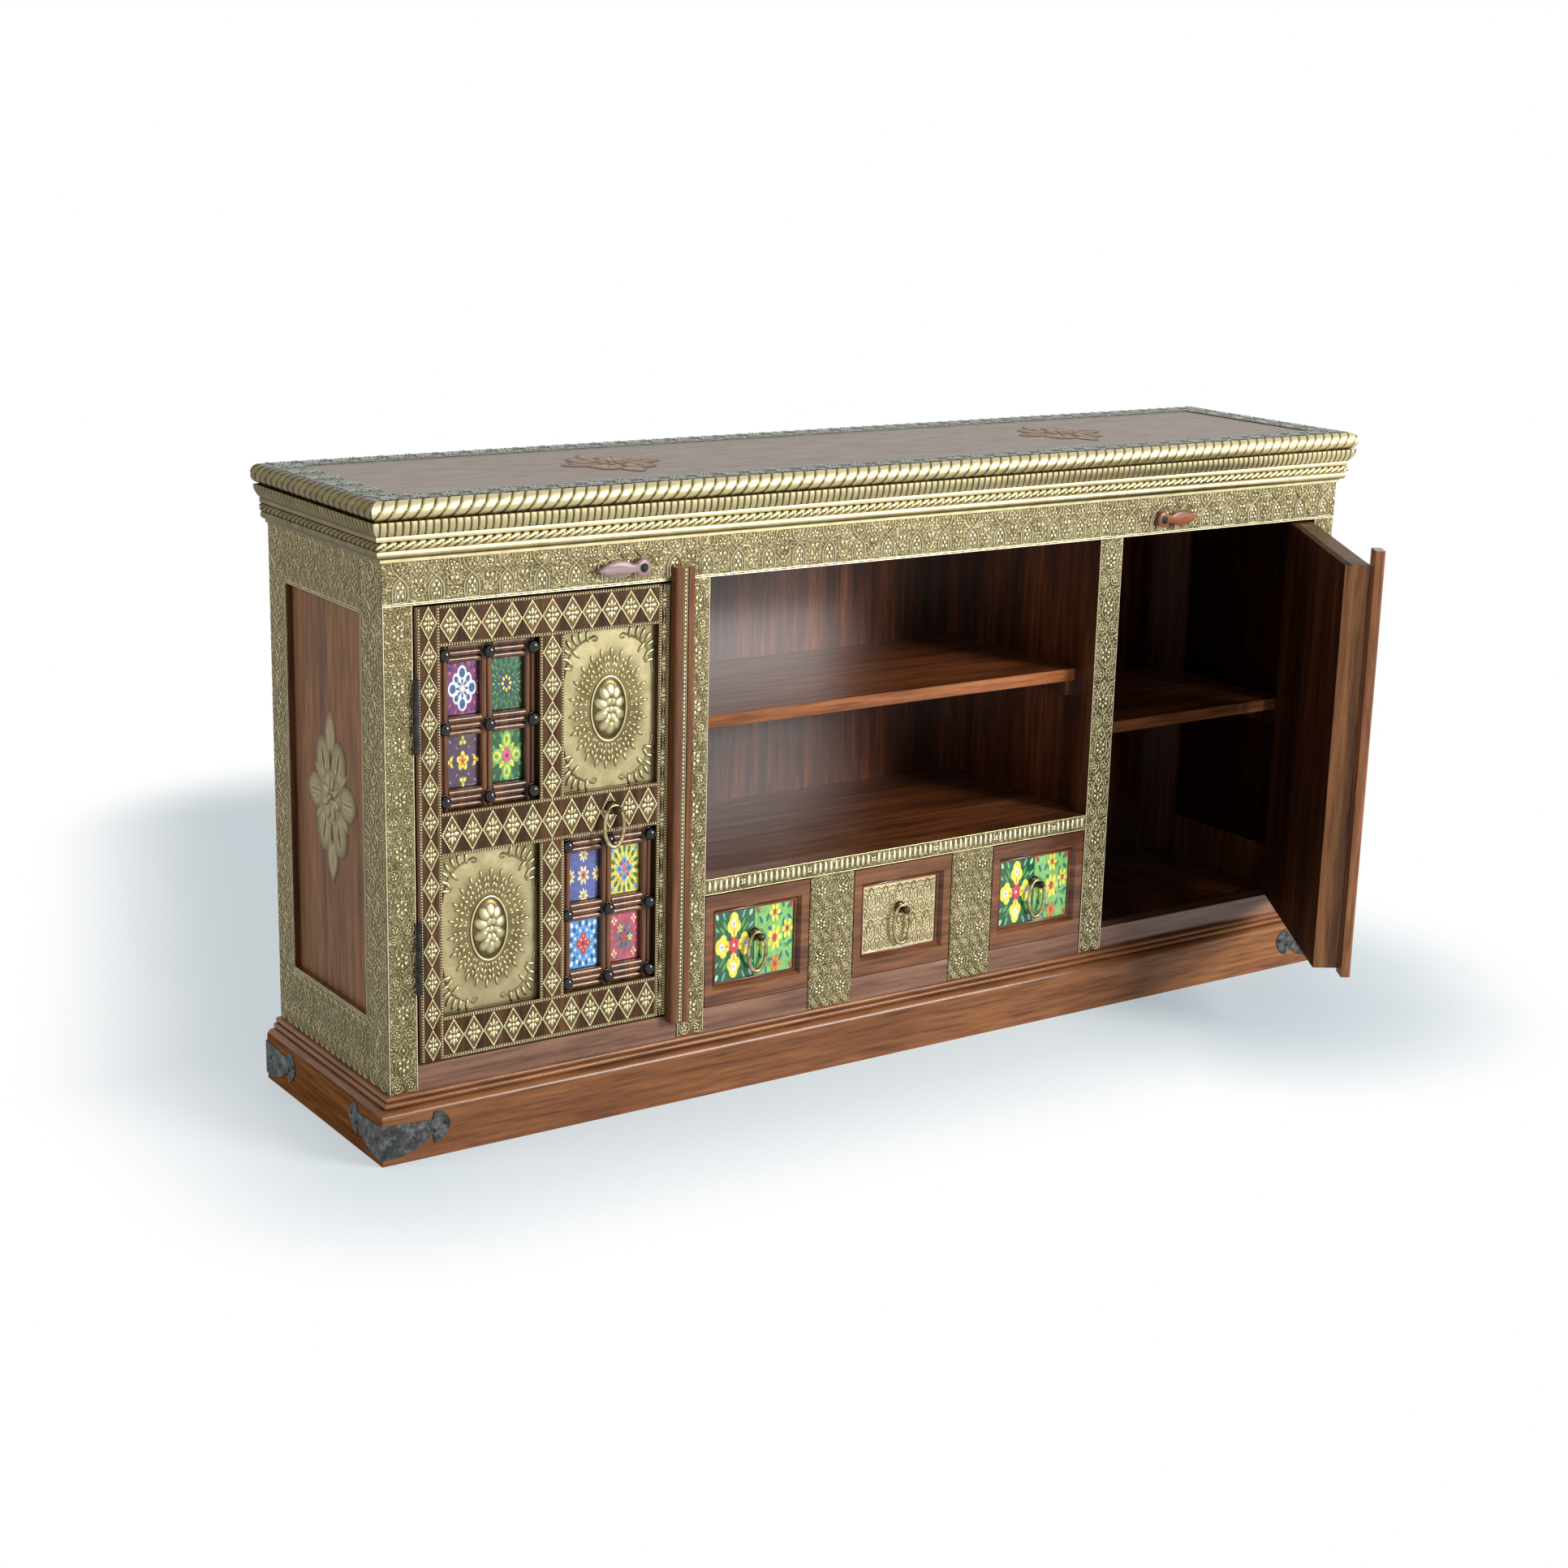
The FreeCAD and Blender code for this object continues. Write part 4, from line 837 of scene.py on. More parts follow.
def lotusPattern():  # drawn upright, 140 wide and 222 high
    tip, lobe = plate(66, 32, 1.1, 0.75), plate(78, 48, 1.2, -0.1)
    side, middle = plate(52, 48, 1.1, 0.2), plate(74, 96, 1.3)
    fold = dimmed(dome(32, 11, 1.9, 12, 6, 0.4), 0.7, 0.2)
    slim = dimmed(dome(34, 8, 1.9, 12, 6, 0.5), 0.7, 0.2)
    crease = markRise(dome(38, 1.3, 2.5, 8, 4, 0.4), 1, 0.3)
    petal, bead = dome(26, 12, 3.1, 10, 6, 0.3), dome(9, 9, 3.8, 10, 6)
    placed = [(middle, at(0, 0))]
    for sign in (-1, 1):
        facing = 0 if sign > 0 else 180
        placed += [(tip, at(0, sign * 78, 90 * sign)), (side, at(sign * 45, 0, facing)),
                   (slim, at(0, sign * 78, 90 * sign))]
        placed += [(lobe, at(x, sign * 36, sign * (90 - math.copysign(10, x)))) for x in (-19, 19)]
        placed += [(fold, at(x, sign * y, sign * (90 - lean))) for x, y, lean in (
            (-30, 42, -20), (-12, 48, -6), (12, 48, 6), (30, 42, 20), (-35, 26, -50), (35, 26, 50))]
        placed += [(fold, at(sign * 48, y, facing + sign * lean)) for y, lean in ((-9, -14), (9, 14))]
        placed += [(crease, at(x, sign * y, sign * (90 - lean))) for x, y, lean in (
            (-21, 44, -13), (0, 46, 0), (21, 44, 13))]
        placed += [(crease, at(sign * 46, 0, facing))]
    placed += ringOf(petal, 8, 15, 22.5, 1.3, up=0.4) + [(bead, at(0, 0, 0, 0.6))]
    return assemble("lotusPattern", placed)


def makeLotus():
    pattern = lotusPattern()
    across = (sidePanel["front"] + sidePanel["back"]) / 2
    up = (sidePanel["low"] + sidePanel["high"]) / 2
    sides = [copyTo(pattern, hung(side, flip * across, up, sidePanel["face"])) for side, flip in bothSides]
    fit = sized(lotus["topWidth"] / lotus["width"], lotus["topDepth"] / lotus["height"], lotus["topRise"])
    tops = [copyTo(pattern, hung("top", flip * lotus["topX"], lotus["topY"], lotus["topFace"]) @ fit)
            for flip in (-1, 1)]
    putAway(pattern)
    finishPiece(joinAs("sideLotus", sides), "carcass", "shadedSideBrass", ["brass_flowers"])
    finishPiece(joinAs("topLotus", tops), "carcass", "bronzeLines", ["brass_flowers"])


makeLotus()
print("lotus flowers laid")


# doors: strips of brass diamonds, beaded edges and embossed panels; the right door is the left one mirrored

def openedDoor():
    pivot = moved(-door["hinge"][0], door["hinge"][1], 0)
    return pivot @ turned(door["opened"], "Z") @ pivot.inverted() @ sized(-1, 1)


def onBothDoors(piece, finish, replaced=()):
    name = piece.name
    twin = copyTo(piece, openedDoor())
    for side, obj in (("left", piece), ("right", twin)):
        obj.name = side + name
        obj.data.name = obj.name
        finishPiece(obj, side + "_door", finish, [side + "_" + node for node in replaced])


diamond = {"width": 26, "height": 34, "thick": 0.8, "bead": (2.5, 2.5, 1.5), "beads": 7, "beadsIn": 0.93, "margin": 3.4,
           "overlap": 1.02, "petal": (9.6, 5.4, 1.9), "slim": (6.8, 3.4, 1.7), "heart": (4.8, 4.8, 2.3),
           "rim": 1.1, "step": 0.5, "sunk": 0.55, "onStile": 14, "onRail": 11, "onMuntin": 5}
stripEdge = {"bead": (2.7, 2.7, 1.4), "pitch": 3.5, "first": 1.8, "beadsIn": 1.9, "fillets": (0.4, 3.5), "fillet": 0.45,
             "hingeGap": 3, "astragalGap": 0.5}


def diamondPlaque():
    d = diamond
    ground = fresh(bpy.ops.mesh.primitive_circle_add, vertices=4, radius=1, fill_type="NGON")
    ground.data.transform(sized(d["width"] / 2 * mm, d["height"] / 2 * mm))
    editAll(ground)
    bpy.ops.mesh.extrude_region_move(TRANSFORM_OT_translate={"value": (0, 0, d["thick"] * mm)})
    bpy.ops.mesh.inset(thickness=d["rim"] * mm, depth=0)
    bpy.ops.mesh.inset(thickness=d["step"] * mm, depth=-d["sunk"] * mm)
    leaveEdit()
    markRise(ground, 1.0)
    bead, heart = dome(*d["bead"]), dome(*d["heart"])
    petal, slim = dome(*d["petal"], taper=0.5), dome(*d["slim"], taper=0.5)
    placed = [(ground, at(0, 0)), (heart, at(0, 0))]
    placed += [(petal, at(0, 5.6 * s, 90 * s)) for s in (-1, 1)]
    placed += [(petal, at(5.2 * s, 0, 90 - 90 * s)) for s in (-1, 1)]
    placed += [(slim, at(x, y, math.degrees(math.atan2(y, x)))) for x in (-3.6, 3.6) for y in (-4.6, 4.6)]
    corners = [(0, d["height"] / 2), (d["width"] / 2, 0), (0, -d["height"] / 2), (-d["width"] / 2, 0)]
    for i in range(4):
        (ax, ay), (bx, by) = corners[i], corners[(i + 1) % 4]
        for k in range(d["beads"]):
            share = (k + 0.5) / d["beads"]
            spot = at((ax + (bx - ax) * share) * d["beadsIn"], (ay + (by - ay) * share) * d["beadsIn"])
            placed.append((bead, spot))
    return assemble("diamondPlaque", placed)


def strip(plaque, bead, box, upright, count):  # diamonds between two beaded edges and two plain fillets
    x0, x1, z0, z1 = box
    wide, long = (x1 - x0, z1 - z0) if upright else (z1 - z0, x1 - x0)

    def turn(along, across):
        return (across, along) if upright else (along, across)

    def spot(along, across):
        x, z = turn(along, across)
        return x0 + x, z0 + z

    e, pitch = stripEdge, long / count
    width, height = turn(diamond["height"], diamond["width"])
    fit = sized(*turn(pitch * diamond["overlap"] / height, (wide - 2 * diamond["margin"]) / width))
    parts = [rowOf(copyTo(plaque, at(*spot(pitch / 2, wide / 2)) @ fit), count, (*turn(pitch, 0), 0))]
    for edge in (e["beadsIn"], wide - e["beadsIn"]):
        row = copyTo(bead, at(*spot(e["first"], edge)))
        parts.append(rowOf(row, int(long / e["pitch"]), (*turn(e["pitch"], 0), 0)))
    outer, inner = e["fillets"]
    for edge in (outer, inner, wide - inner, wide - outer):
        parts.append(wire([spot(0, edge), spot(long, edge)], e["fillet"], straight=True))
    return parts


def makeDiamondStrips():
    plaque, bead = diamondPlaque(), dome(*stripEdge["bead"])
    d = door
    innerLeft, innerRight = d["left"] + d["hingeStile"], d["right"] - d["lockStile"]
    low, high = d["rows"]
    parts = []
    for x0, x1 in ((d["left"] + stripEdge["hingeGap"], innerLeft),
                   (innerRight, d["astragalLeft"] - stripEdge["astragalGap"])):
        parts += strip(plaque, bead, (x0, x1, d["low"], d["high"]), True, diamond["onStile"])
    for z0, z1 in ((d["low"], low), (low + d["panelHeight"], high), (high + d["panelHeight"], d["high"])):
        parts += strip(plaque, bead, (innerLeft, innerRight, z0, z1), False, diamond["onRail"])
    muntin = d["columns"][0] + d["panelWidth"]
    for row in d["rows"]:
        parts += strip(plaque, bead, (muntin, d["columns"][1], row, row + d["panelHeight"]), True, diamond["onMuntin"])
    strips = joinAs("DoorDiamonds", parts)
    strips.data.transform(hung("front", 0, 0, -d["face"]))
    putAway(plaque, bead)
    onBothDoors(strips, "diamondBrass", ["door_brass_sheets"])


makeDiamondStrips()
print("diamond strips laid")

panel = {"medallion": (46, 77), "bulge": 6.2, "burst": (27, 39.5), "burstOut": 1.08, "sprigs": 22, "edge": 1.4,
         "shine": (0.64, 0.18), "droop": 19, "grid": (36, 54), "swell": (0.5, 1.4),
         # ground and corner darken the sheet about the buds and in the corners: patina with painted shade
         "ground": (0.36, 0.3, 1.6, 0.45), "corner": (0.2, 1.42, 0.2),
         "stem": [(63, 40), (59, 62), (50, 76), (38, 86), (20, 92)],
         "curl": [(20, 92), (15, 90), (17, 85), (22, 87)],
         "leaves": ((55, 84, 0.6, 0.9), (48, 89, 0.45, 0.95), (40, 92, 0.2, 1), (58, 76, 0.85, 0.6), (59, 66, 1, 0.4),
                    (30, 93, 0.1, 1), (58, 55, 1, 0.2), (46, 72, -0.7, -0.8), (54, 62, -0.6, -0.8))}


def sprig():  # pairs of leaves on a stem, with a flame at its end
    base = dome(6.5, 3.8, 1.9, 8, 4, 0.3)
    leaf = dome(9, 4.8, 2.2, 8, 4, 0.5)
    tip = dome(12, 4.8, 2.3, 8, 4, 0.7)
    stem = wire([(-2, 0), (10, 0), (22, 0)], 0.9)
    placed = [(stem, at(0, 0)), (tip, at(26, 0))]
    for s in (-1, 1):
        placed += [(base, at(4, s * 2.2, s * 25)), (leaf, at(11.5, s * 3.8, s * 30)), (leaf, at(19, s * 4.2, s * 26))]
    return dimmed(assemble("sprig", placed), *panel["shine"])


def eases(value, start, length):  # 0 before the start, 1 past the end
    return min(max((value - start) / length, 0.0), 1.0)


def panelSheet():  # swelling to the middle; darker between the buds and between the corner leaves, patina with painted shade
    w, h = door["panelWidth"], door["panelHeight"]
    bw, bh = panel["burst"]
    columns, rows = panel["grid"]
    flat, swell = panel["swell"]
    dark, gain, start, span = panel["ground"]
    cornerShadeAndPatina, cornerStart, cornerSpan = panel["corner"]
    sheet = fresh(bpy.ops.mesh.primitive_grid_add, x_subdivisions=columns, y_subdivisions=rows, size=1)
    for vert in sheet.data.vertices:
        x, y = vert.co.x * w, vert.co.y * h
        away = math.hypot(x / (w / 2), y / (h / 2))
        vert.co = (x * mm, y * mm, (flat + swell * max(0.0, 1 - away ** 2)) * mm)
    markRise(smooth(sheet, 80), 1, 0.5)
    for vert, cell in zip(sheet.data.vertices, sheet.data.attributes["rise"].data):
        x, y = abs(vert.co.x) / mm, abs(vert.co.y) / mm
        # darker in the burst zone and towards the corners: patina with painted shade
        cell.value = dark + gain * eases(math.hypot(x / bw, y / bh), start, span)
        cell.value -= cornerShadeAndPatina * eases(x / (w / 2) + y / (h / 2), cornerStart, cornerSpan)
    return sheet


def panelPattern():  # sheet, oval lotus medallion, flames of buds around it and leaves in the corners
    p = panel
    mw, mh = p["medallion"]
    bw, bh = p["burst"]
    sheet = panelSheet()
    bulge = markRise(dome(mw, mh, p["bulge"], 32, 12), 1, 0.24)
    wide, inner, bud = (dimmed(shape, *p["shine"]) for shape in (
        dome(21, 16.5, 4.2, 12, 6, 0.1), dome(16, 12.5, 3.8, 12, 6, 0.1), dome(9, 11, 3.0, 10, 6)))
    stroke = dimmed(dome(17, 5.4, 2.8, 8, 5, 0.5), 0.6, 0.22)
    spray = sprig()
    rail = rectangle(door["panelWidth"] / 2 - p["edge"], door["panelHeight"] / 2 - p["edge"])
    border = dimmed(wire(rail, 1.1, True, True), 0.35)
    oval = [(mw / 2 * 1.08 * math.cos(a * math.pi / 12), mh / 2 * 1.06 * math.sin(a * math.pi / 12)) for a in range(24)]
    rim = wire(oval, 1.7, True, facets=1)
    placed = [(sheet, at(0, 0)), (bulge, at(0, 0, 0, 0.6)), (rim, at(0, 0, 0, 1.9))]
    drooped = turned(p["droop"], "Y")  # the petals follow the bulge
    placed += [(shape, place @ drooped) for shape, place in ringOf(wide, 10, 13.2, 18, 1.85, up=4.1)]
    placed += ringOf(inner, 6, 7.2, 0, 1.75, up=5.2) + [(bud, at(0, 0, 0, 6.2))]
    placed.append((border, at(0, 0, 0, 0.4)))
    for i in range(p["sprigs"]):
        turn = math.tau * (i + 0.25) / p["sprigs"]
        lean = math.degrees(math.atan2(math.sin(turn) * bh / bw, math.cos(turn)))
        place = at(bw * p["burstOut"] * math.cos(turn), bh * p["burstOut"] * math.sin(turn), lean, 1.0)
        placed.append((spray, place @ sized(0.84 + 0.24 * abs(math.sin(turn)), 0.95)))
    stems = []
    for a, b in ((-1, -1), (-1, 1), (1, -1), (1, 1)):
        for line, radius in ((p["stem"], 1.5), (p["curl"], 1.4)):
            stems.append(dimmed(wire([(a * x, b * y) for x, y in line], radius), 0.6, 0.2))
        placed += [(stroke, at(a * x, b * y, math.degrees(math.atan2(b * dy, a * dx)), 0.4))
                   for x, y, dx, dy in p["leaves"]]
    placed += [(stem, at(0, 0, 0, 0.7)) for stem in stems]
    return assemble("panelPattern", placed)


def makePanels():
    pattern, d = panelPattern(), door
    places = ((d["columns"][1], d["rows"][1]), (d["columns"][0], d["rows"][0]))
    pair = [copyTo(pattern, hung("front", x + d["panelWidth"] / 2, z + d["panelHeight"] / 2, -d["panelFace"]))
            for x, z in places]
    putAway(pattern)
    onBothDoors(joinAs("DoorPanels", pair), "panelBrass", ["door_brass_sheets"])


makePanels()

astragalStrip = {"middle": -360, "face": -173.9, "low": 106, "high": 693, "pitch": 5.2, "bead": (4.2, 3.2, 1.2),
                 "first": 2, "edge": 2.9, "line": 0.9, "bed": 3.95, "bedRise": 0.2}


def makeAstragalStrip():
    a = astragalStrip
    x, low, high = a["middle"], a["low"], a["high"]
    bead = dome(*a["bead"])
    count = int((high - low - 2 * a["first"]) / a["pitch"]) + 1
    parts = [rowOf(copyTo(bead, at(x, low + a["first"], 90)), count, (0, a["pitch"], 0))]
    parts += [wire([(x + s, low), (x + s, high)], a["line"], straight=True) for s in (-a["edge"], a["edge"])]
    bed = block((x - a["bed"], low, -a["bedRise"]), (x + a["bed"], high, a["bedRise"]))
    parts.append(markRise(bed, 1, 0.2))
    strips = joinAs("AstragalStrip", parts)
    strips.data.transform(hung("front", 0, 0, -a["face"]))
    putAway(bead)
    onBothDoors(strips, "agedBrass", ["door_brass_sheets"])


makeAstragalStrip()
print("panels and astragal strips laid")


# glazed tiles: a pillowed body with its pattern in raised glaze

glazeTones = {
    "purple": (128, 52, 108), "white": (236, 236, 238), "blue": (62, 98, 158), "grey": (140, 140, 158),
    "red": (204, 58, 66), "pine": (28, 92, 56), "leaf": (86, 150, 70), "yellow": (232, 223, 84),
    "violet": (84, 60, 110), "lime": (129, 192, 102), "pink": (222, 92, 124), "navy": (36, 58, 118),
    "sky": (86, 160, 218), "rose": (186, 80, 104), "teal": (26, 112, 112), "slate": (56, 88, 84),
    "orange": (224, 128, 48), "mint": (176, 222, 190), "plum": (86, 62, 80), "lilac": (170, 150, 186),
    "periwinkle": (88, 98, 162), "cream": (242, 230, 160), "sun": (222, 212, 96), "dusk": (122, 94, 110),
    "seafoam": (112, 184, 150)}
glazes = {name: paintedGlaze(name + "Glaze", tone) for name, tone in glazeTones.items()}

tileLooks = {  # rings of petals: colour, count, radius, length, width, then start, taper, x and y where not 0
    "starflower": ("purple", [
        ("violet", 14, 0.97, 0.26, 0.18), ("pink", 14, 1.0, 0.16, 0.1, 13), ("navy", 4, 1.16, 0.2, 0.16, 45),
        ("white", 4, 0.6, 0.6, 0.6), ("white", 4, 0.52, 0.48, 0.48, 45), ("white", 1, 0, 0.8, 0.8),
        ("blue", 4, 0.6, 0.42, 0.4), ("blue", 4, 0.52, 0.3, 0.27, 45), ("teal", 4, 0.6, 0.2, 0.2),
        ("navy", 8, 0.28, 0.22, 0.11, 0, 0.3), ("grey", 8, 0.16, 0.14, 0.07, 22), ("cream", 1, 0, 0.13, 0.13)]),
    "rayflower": ("slate", [
        ("pine", 16, 0.88, 0.4, 0.2, 11, 0.5), ("leaf", 16, 0.86, 0.3, 0.08, 0, 0.5),
        ("leaf", 16, 0.72, 0.16, 0.07, 11, 0.5), ("pine", 10, 0.56, 0.3, 0.16, 18, 0.4),
        ("lime", 10, 0.5, 0.14, 0.06, 0, 0.5), ("leaf", 4, 1.12, 0.3, 0.12, 38, 0.4),
        ("leaf", 4, 1.12, 0.3, 0.12, 52, 0.4), ("yellow", 8, 0.25, 0.17, 0.13), ("violet", 1, 0, 0.36, 0.36),
        ("pine", 1, 0, 0.2, 0.2)]),
    "fiveflower": ("plum", [
        ("lilac", 10, 0.66, 0.16, 0.07, 18, 0.3), ("lilac", 4, 1.12, 0.16, 0.08, 45, 0.3),
        ("yellow", 5, 0.23, 0.34, 0.27, 90), ("orange", 5, 0.17, 0.24, 0.15, 90), ("red", 1, 0, 0.18, 0.18),
        ("yellow", 3, 0.13, 0.22, 0.17, 90, 0, 0, 0.8), ("yellow", 3, 0.13, 0.22, 0.17, 270, 0, 0, -0.8),
        ("yellow", 3, 0.13, 0.22, 0.17, 180, 0, -0.8), ("yellow", 3, 0.13, 0.22, 0.17, 0, 0, 0.8),
        ("orange", 4, 0.8, 0.12, 0.12)]),
    "limeflower": ("pine", [
        ("leaf", 8, 0.92, 0.34, 0.2, 22, 0.4), ("leaf", 4, 1.12, 0.24, 0.14, 45, 0.3),
        ("lime", 4, 0.58, 0.8, 0.62, 0, -0.1), ("yellow", 4, 0.6, 0.66, 0.5, 0, -0.1),
        ("lime", 4, 0.64, 0.42, 0.3, 0, -0.1), ("pine", 4, 0.66, 0.22, 0.16), ("orange", 4, 0.66, 0.12, 0.09),
        ("yellow", 4, 0.46, 0.42, 0.2, 45, 0.2), ("orange", 4, 0.42, 0.14, 0.08, 45), ("pink", 8, 0.19, 0.24, 0.18),
        ("violet", 1, 0, 0.12, 0.12)]),
    "daisies": ("periwinkle", [
        ("cream", 8, 0.27, 0.32, 0.17, 22), ("orange", 8, 0.14, 0.14, 0.09, 22), ("violet", 1, 0, 0.13, 0.13),
        ("cream", 8, 0.2, 0.24, 0.12, 0, 0, 0, 0.86), ("cream", 8, 0.2, 0.24, 0.12, 0, 0, 0, -0.86),
        ("cream", 8, 0.2, 0.24, 0.12, 0, 0, 0.9), ("cream", 8, 0.2, 0.24, 0.12, 0, 0, -0.9),
        ("orange", 4, 0.86, 0.13, 0.13), ("sky", 4, 0.75, 0.1, 0.06, 45)]),
    "sunray": ("sun", [
        ("pine", 16, 0.84, 0.36, 0.2, 0, -0.3), ("leaf", 16, 0.86, 0.2, 0.09, 0, -0.2),
        ("pine", 16, 0.6, 0.16, 0.045), ("sky", 4, 1.14, 0.26, 0.2, 45), ("red", 4, 0.33, 0.22, 0.18, 45),
        ("sky", 4, 0.32, 0.42, 0.36), ("blue", 4, 0.34, 0.24, 0.18), ("pink", 1, 0, 0.32, 0.36),
        ("orange", 1, 0, 0.15, 0.17)]),
    "drops": ("sky", [
        ("white", 12, 0.86, 0.22, 0.19, 0, 0.4), ("navy", 12, 0.86, 0.26, 0.2, 15, 0.4),
        ("teal", 12, 0.86, 0.14, 0.1, 15, 0.3), ("white", 4, 1.14, 0.26, 0.2, 45, 0.2),
        ("white", 8, 0.6, 0.17, 0.12, 22, 0.4), ("blue", 8, 0.56, 0.14, 0.08, 0, 0.4), ("red", 4, 0.25, 0.46, 0.42),
        ("cream", 4, 0.22, 0.13, 0.09, 45), ("cream", 4, 0.3, 0.1, 0.07), ("navy", 1, 0, 0.15, 0.15)]),
    "rosette": ("rose", [
        ("pink", 20, 0.86, 0.2, 0.06), ("dusk", 7, 0.38, 0.62, 0.44, 10, 0, 0.04, -0.06),
        ("plum", 7, 0.3, 0.24, 0.16, 30, 0, 0.04, -0.06), ("grey", 7, 0.52, 0.16, 0.09, 0, 0.3, 0.04, -0.06),
        ("cream", 4, 0.12, 0.15, 0.12, 0, 0, 0.68, 0.7), ("cream", 4, 0.12, 0.15, 0.12, 0, 0, -0.68, 0.7),
        ("cream", 4, 0.12, 0.15, 0.12, 0, 0, 0.68, -0.7), ("cream", 4, 0.12, 0.15, 0.12, 0, 0, -0.68, -0.7),
        ("yellow", 5, 0.12, 0.16, 0.1, 90, 0, -0.26, 0.34), ("yellow", 5, 0.1, 0.14, 0.09, 20, 0, 0.42, -0.08),
        ("red", 6, 0.1, 0.14, 0.1, 0, 0, -0.02, -0.06), ("rose", 4, 0.97, 0.07, 0.07, 45)]),
    "crossflower": ("pine", [
        ("seafoam", 4, 1.0, 0.34, 0.1, 30, 0.5), ("seafoam", 4, 1.0, 0.34, 0.1, 60, 0.5),
        ("mint", 4, 1.2, 0.22, 0.14, 45, 0.3), ("leaf", 4, 0.74, 0.36, 0.12, 38, 0.5),
        ("leaf", 4, 0.74, 0.36, 0.12, 52, 0.5), ("yellow", 4, 0.7, 0.46, 0.46), ("yellow", 4, 0.55, 0.36, 0.36, 17),
        ("yellow", 4, 0.55, 0.36, 0.36, -17), ("yellow", 4, 0.34, 0.44, 0.3), ("white", 4, 0.6, 0.3, 0.22, 0, 0.2),
        ("lilac", 4, 0.6, 0.16, 0.1), ("orange", 4, 0.34, 0.22, 0.08, 0, 0.3), ("red", 8, 0.14, 0.26, 0.16, 22),
        ("white", 1, 0, 0.13, 0.13)]),
    "vine": ("lime", [
        ("leaf", 8, 0.7, 0.36, 0.1, 22), ("teal", 5, 0.3, 0.3, 0.13, 60, 0.5, -0.5, 0.35),
        ("teal", 5, 0.3, 0.3, 0.13, 20, 0.5, 0.5, -0.3), ("teal", 5, 0.28, 0.28, 0.12, 0, 0.5, -0.5, -0.6),
        ("teal", 5, 0.28, 0.28, 0.12, 40, 0.5, 0.52, 0.68), ("yellow", 7, 0.25, 0.28, 0.19, 0, 0.2),
        ("red", 1, 0, 0.26, 0.24), ("yellow", 6, 0.19, 0.22, 0.15, 0, 0.2, 0, 0.72),
        ("red", 1, 0, 0.18, 0.18, 0, 0, 0, 0.72), ("yellow", 6, 0.19, 0.22, 0.15, 0, 0.2, 0.64, 0.2),
        ("red", 1, 0, 0.17, 0.17, 0, 0, 0.64, 0.2), ("orange", 6, 0.18, 0.2, 0.15, 0, 0.2, 0.05, -0.74),
        ("red", 1, 0, 0.16, 0.16, 0, 0, 0.05, -0.74), ("yellow", 5, 0.14, 0.16, 0.1, 0, 0.2, -0.72, -0.12),
        ("red", 4, 1.22, 0.22, 0.12, 45)]),
}
glaze = {"rounding": 1.4, "within": 0.8, "rise": 0.25, "layer": 0.05, "sunk": 0.06, "margin": 0.7}


def glazedTile(look, width, height, thick):  # flat, its face up at the origin
    ground, rings = tileLooks[look]
    body = eased(block((-width / 2, -height / 2, -thick), (width / 2, height / 2, 0)), glaze["rounding"], 3)
    smooth(body, 60)
    body.data.materials.append(glazes[ground])
    pieces = [body]
    for depth, ring in enumerate(rings):
        colour, count, radius, length, wide, start, taper, x, y = (*ring, 0, 0, 0, 0)[:9]
        shape = dome(length, wide, glaze["rise"], 10, 4, taper)
        shape.data.materials.append(glazes[colour])
        lift = moved(0, 0, glaze["layer"] * depth - glaze["sunk"])
        fit = sized(width / 2 - glaze["within"], height / 2 - glaze["within"])
        pieces += [copyTo(shape, lift @ fit @ place) for _, place in ringOf(shape, count, radius, start, x=x, y=y)]
        putAway(shape)
    tile = joinAs(look, pieces)
    for number, limit in ((0, width / 2 - glaze["margin"]), (1, height / 2 - glaze["margin"])):
        for sign in (-1, 1):
            trimGlaze(tile, number, sign, limit * mm)
    return tile


def trimGlaze(tile, number, sign, limit):  # petals stop short of the tile's edge
    verts = tile.data.vertices
    editOnly(tile, "FACE", lambda face: face.material_index > 0 and max(
        sign * verts[v].co[number] for v in face.vertices) > limit)
    outward = Vector((sign, 0, 0)) if number == 0 else Vector((0, sign, 0))
    bpy.ops.mesh.bisect(plane_co=outward * limit, plane_no=outward, clear_outer=True)
    leaveEdit()


doorTiles = {"width": 43.75, "height": 64.6, "thick": 7.5, "face": -144, "upright": 15, "bar": 24.0, "gap": 0.4,
             "upper": (("fiveflower", "limeflower"), ("starflower", "rayflower")),
             "lower": (("drops", "rosette"), ("daisies", "sunray"))}
drawerTiles = {"width": 63.5, "height": 99, "thick": 4.5, "face": -153, "middle": 187, "pitch": 234, "gap": 0.3}


def hungTile(look, size, x, z):
    tile = glazedTile(look, size["width"] - size["gap"], size["height"] - size["gap"], size["thick"])
    tile.data.transform(hung("front", x, z, -size["face"]))
    return tile


def makeTiles():
    t = doorTiles
    placed = []
    for rows, column, low in ((t["upper"], door["columns"][0], door["rows"][1]),
                              (t["lower"], door["columns"][1], door["rows"][0])):
        for j, looks in enumerate(rows):
            for i, look in enumerate(looks):
                x = column + t["upright"] + t["width"] / 2 + i * (t["upright"] + t["width"])
                z = low + t["bar"] + t["height"] / 2 + j * (t["bar"] + t["height"])
                placed.append(hungTile(look, t, x, z))
    onBothDoors(joinAs("DoorTiles", placed), None, ["door_tiles"])
    t = drawerTiles
    for side, flip in bothSides:
        pair = [hungTile(look, t, flip * t["pitch"] + shift * t["width"] / 2, t["middle"])
                for look, shift in (("crossflower", -1), ("vine", 1))]
        tiles = joinAs(side + "DrawerTiles", pair)
        finishPiece(tiles, side + "_drawer", None, [side + "_drawer_facing"])


makeTiles()
print("tiles glazed")


# brass panel in the middle drawer, and a rounded moulding about each drawer's tiles or panel

drawerPanel = {"shine": 0.82, "margin": 5, "columns": 5, "rows": 2}
drawerMoulding = {"inset": 0.8, "radius": 2.8, "out": 0.6}


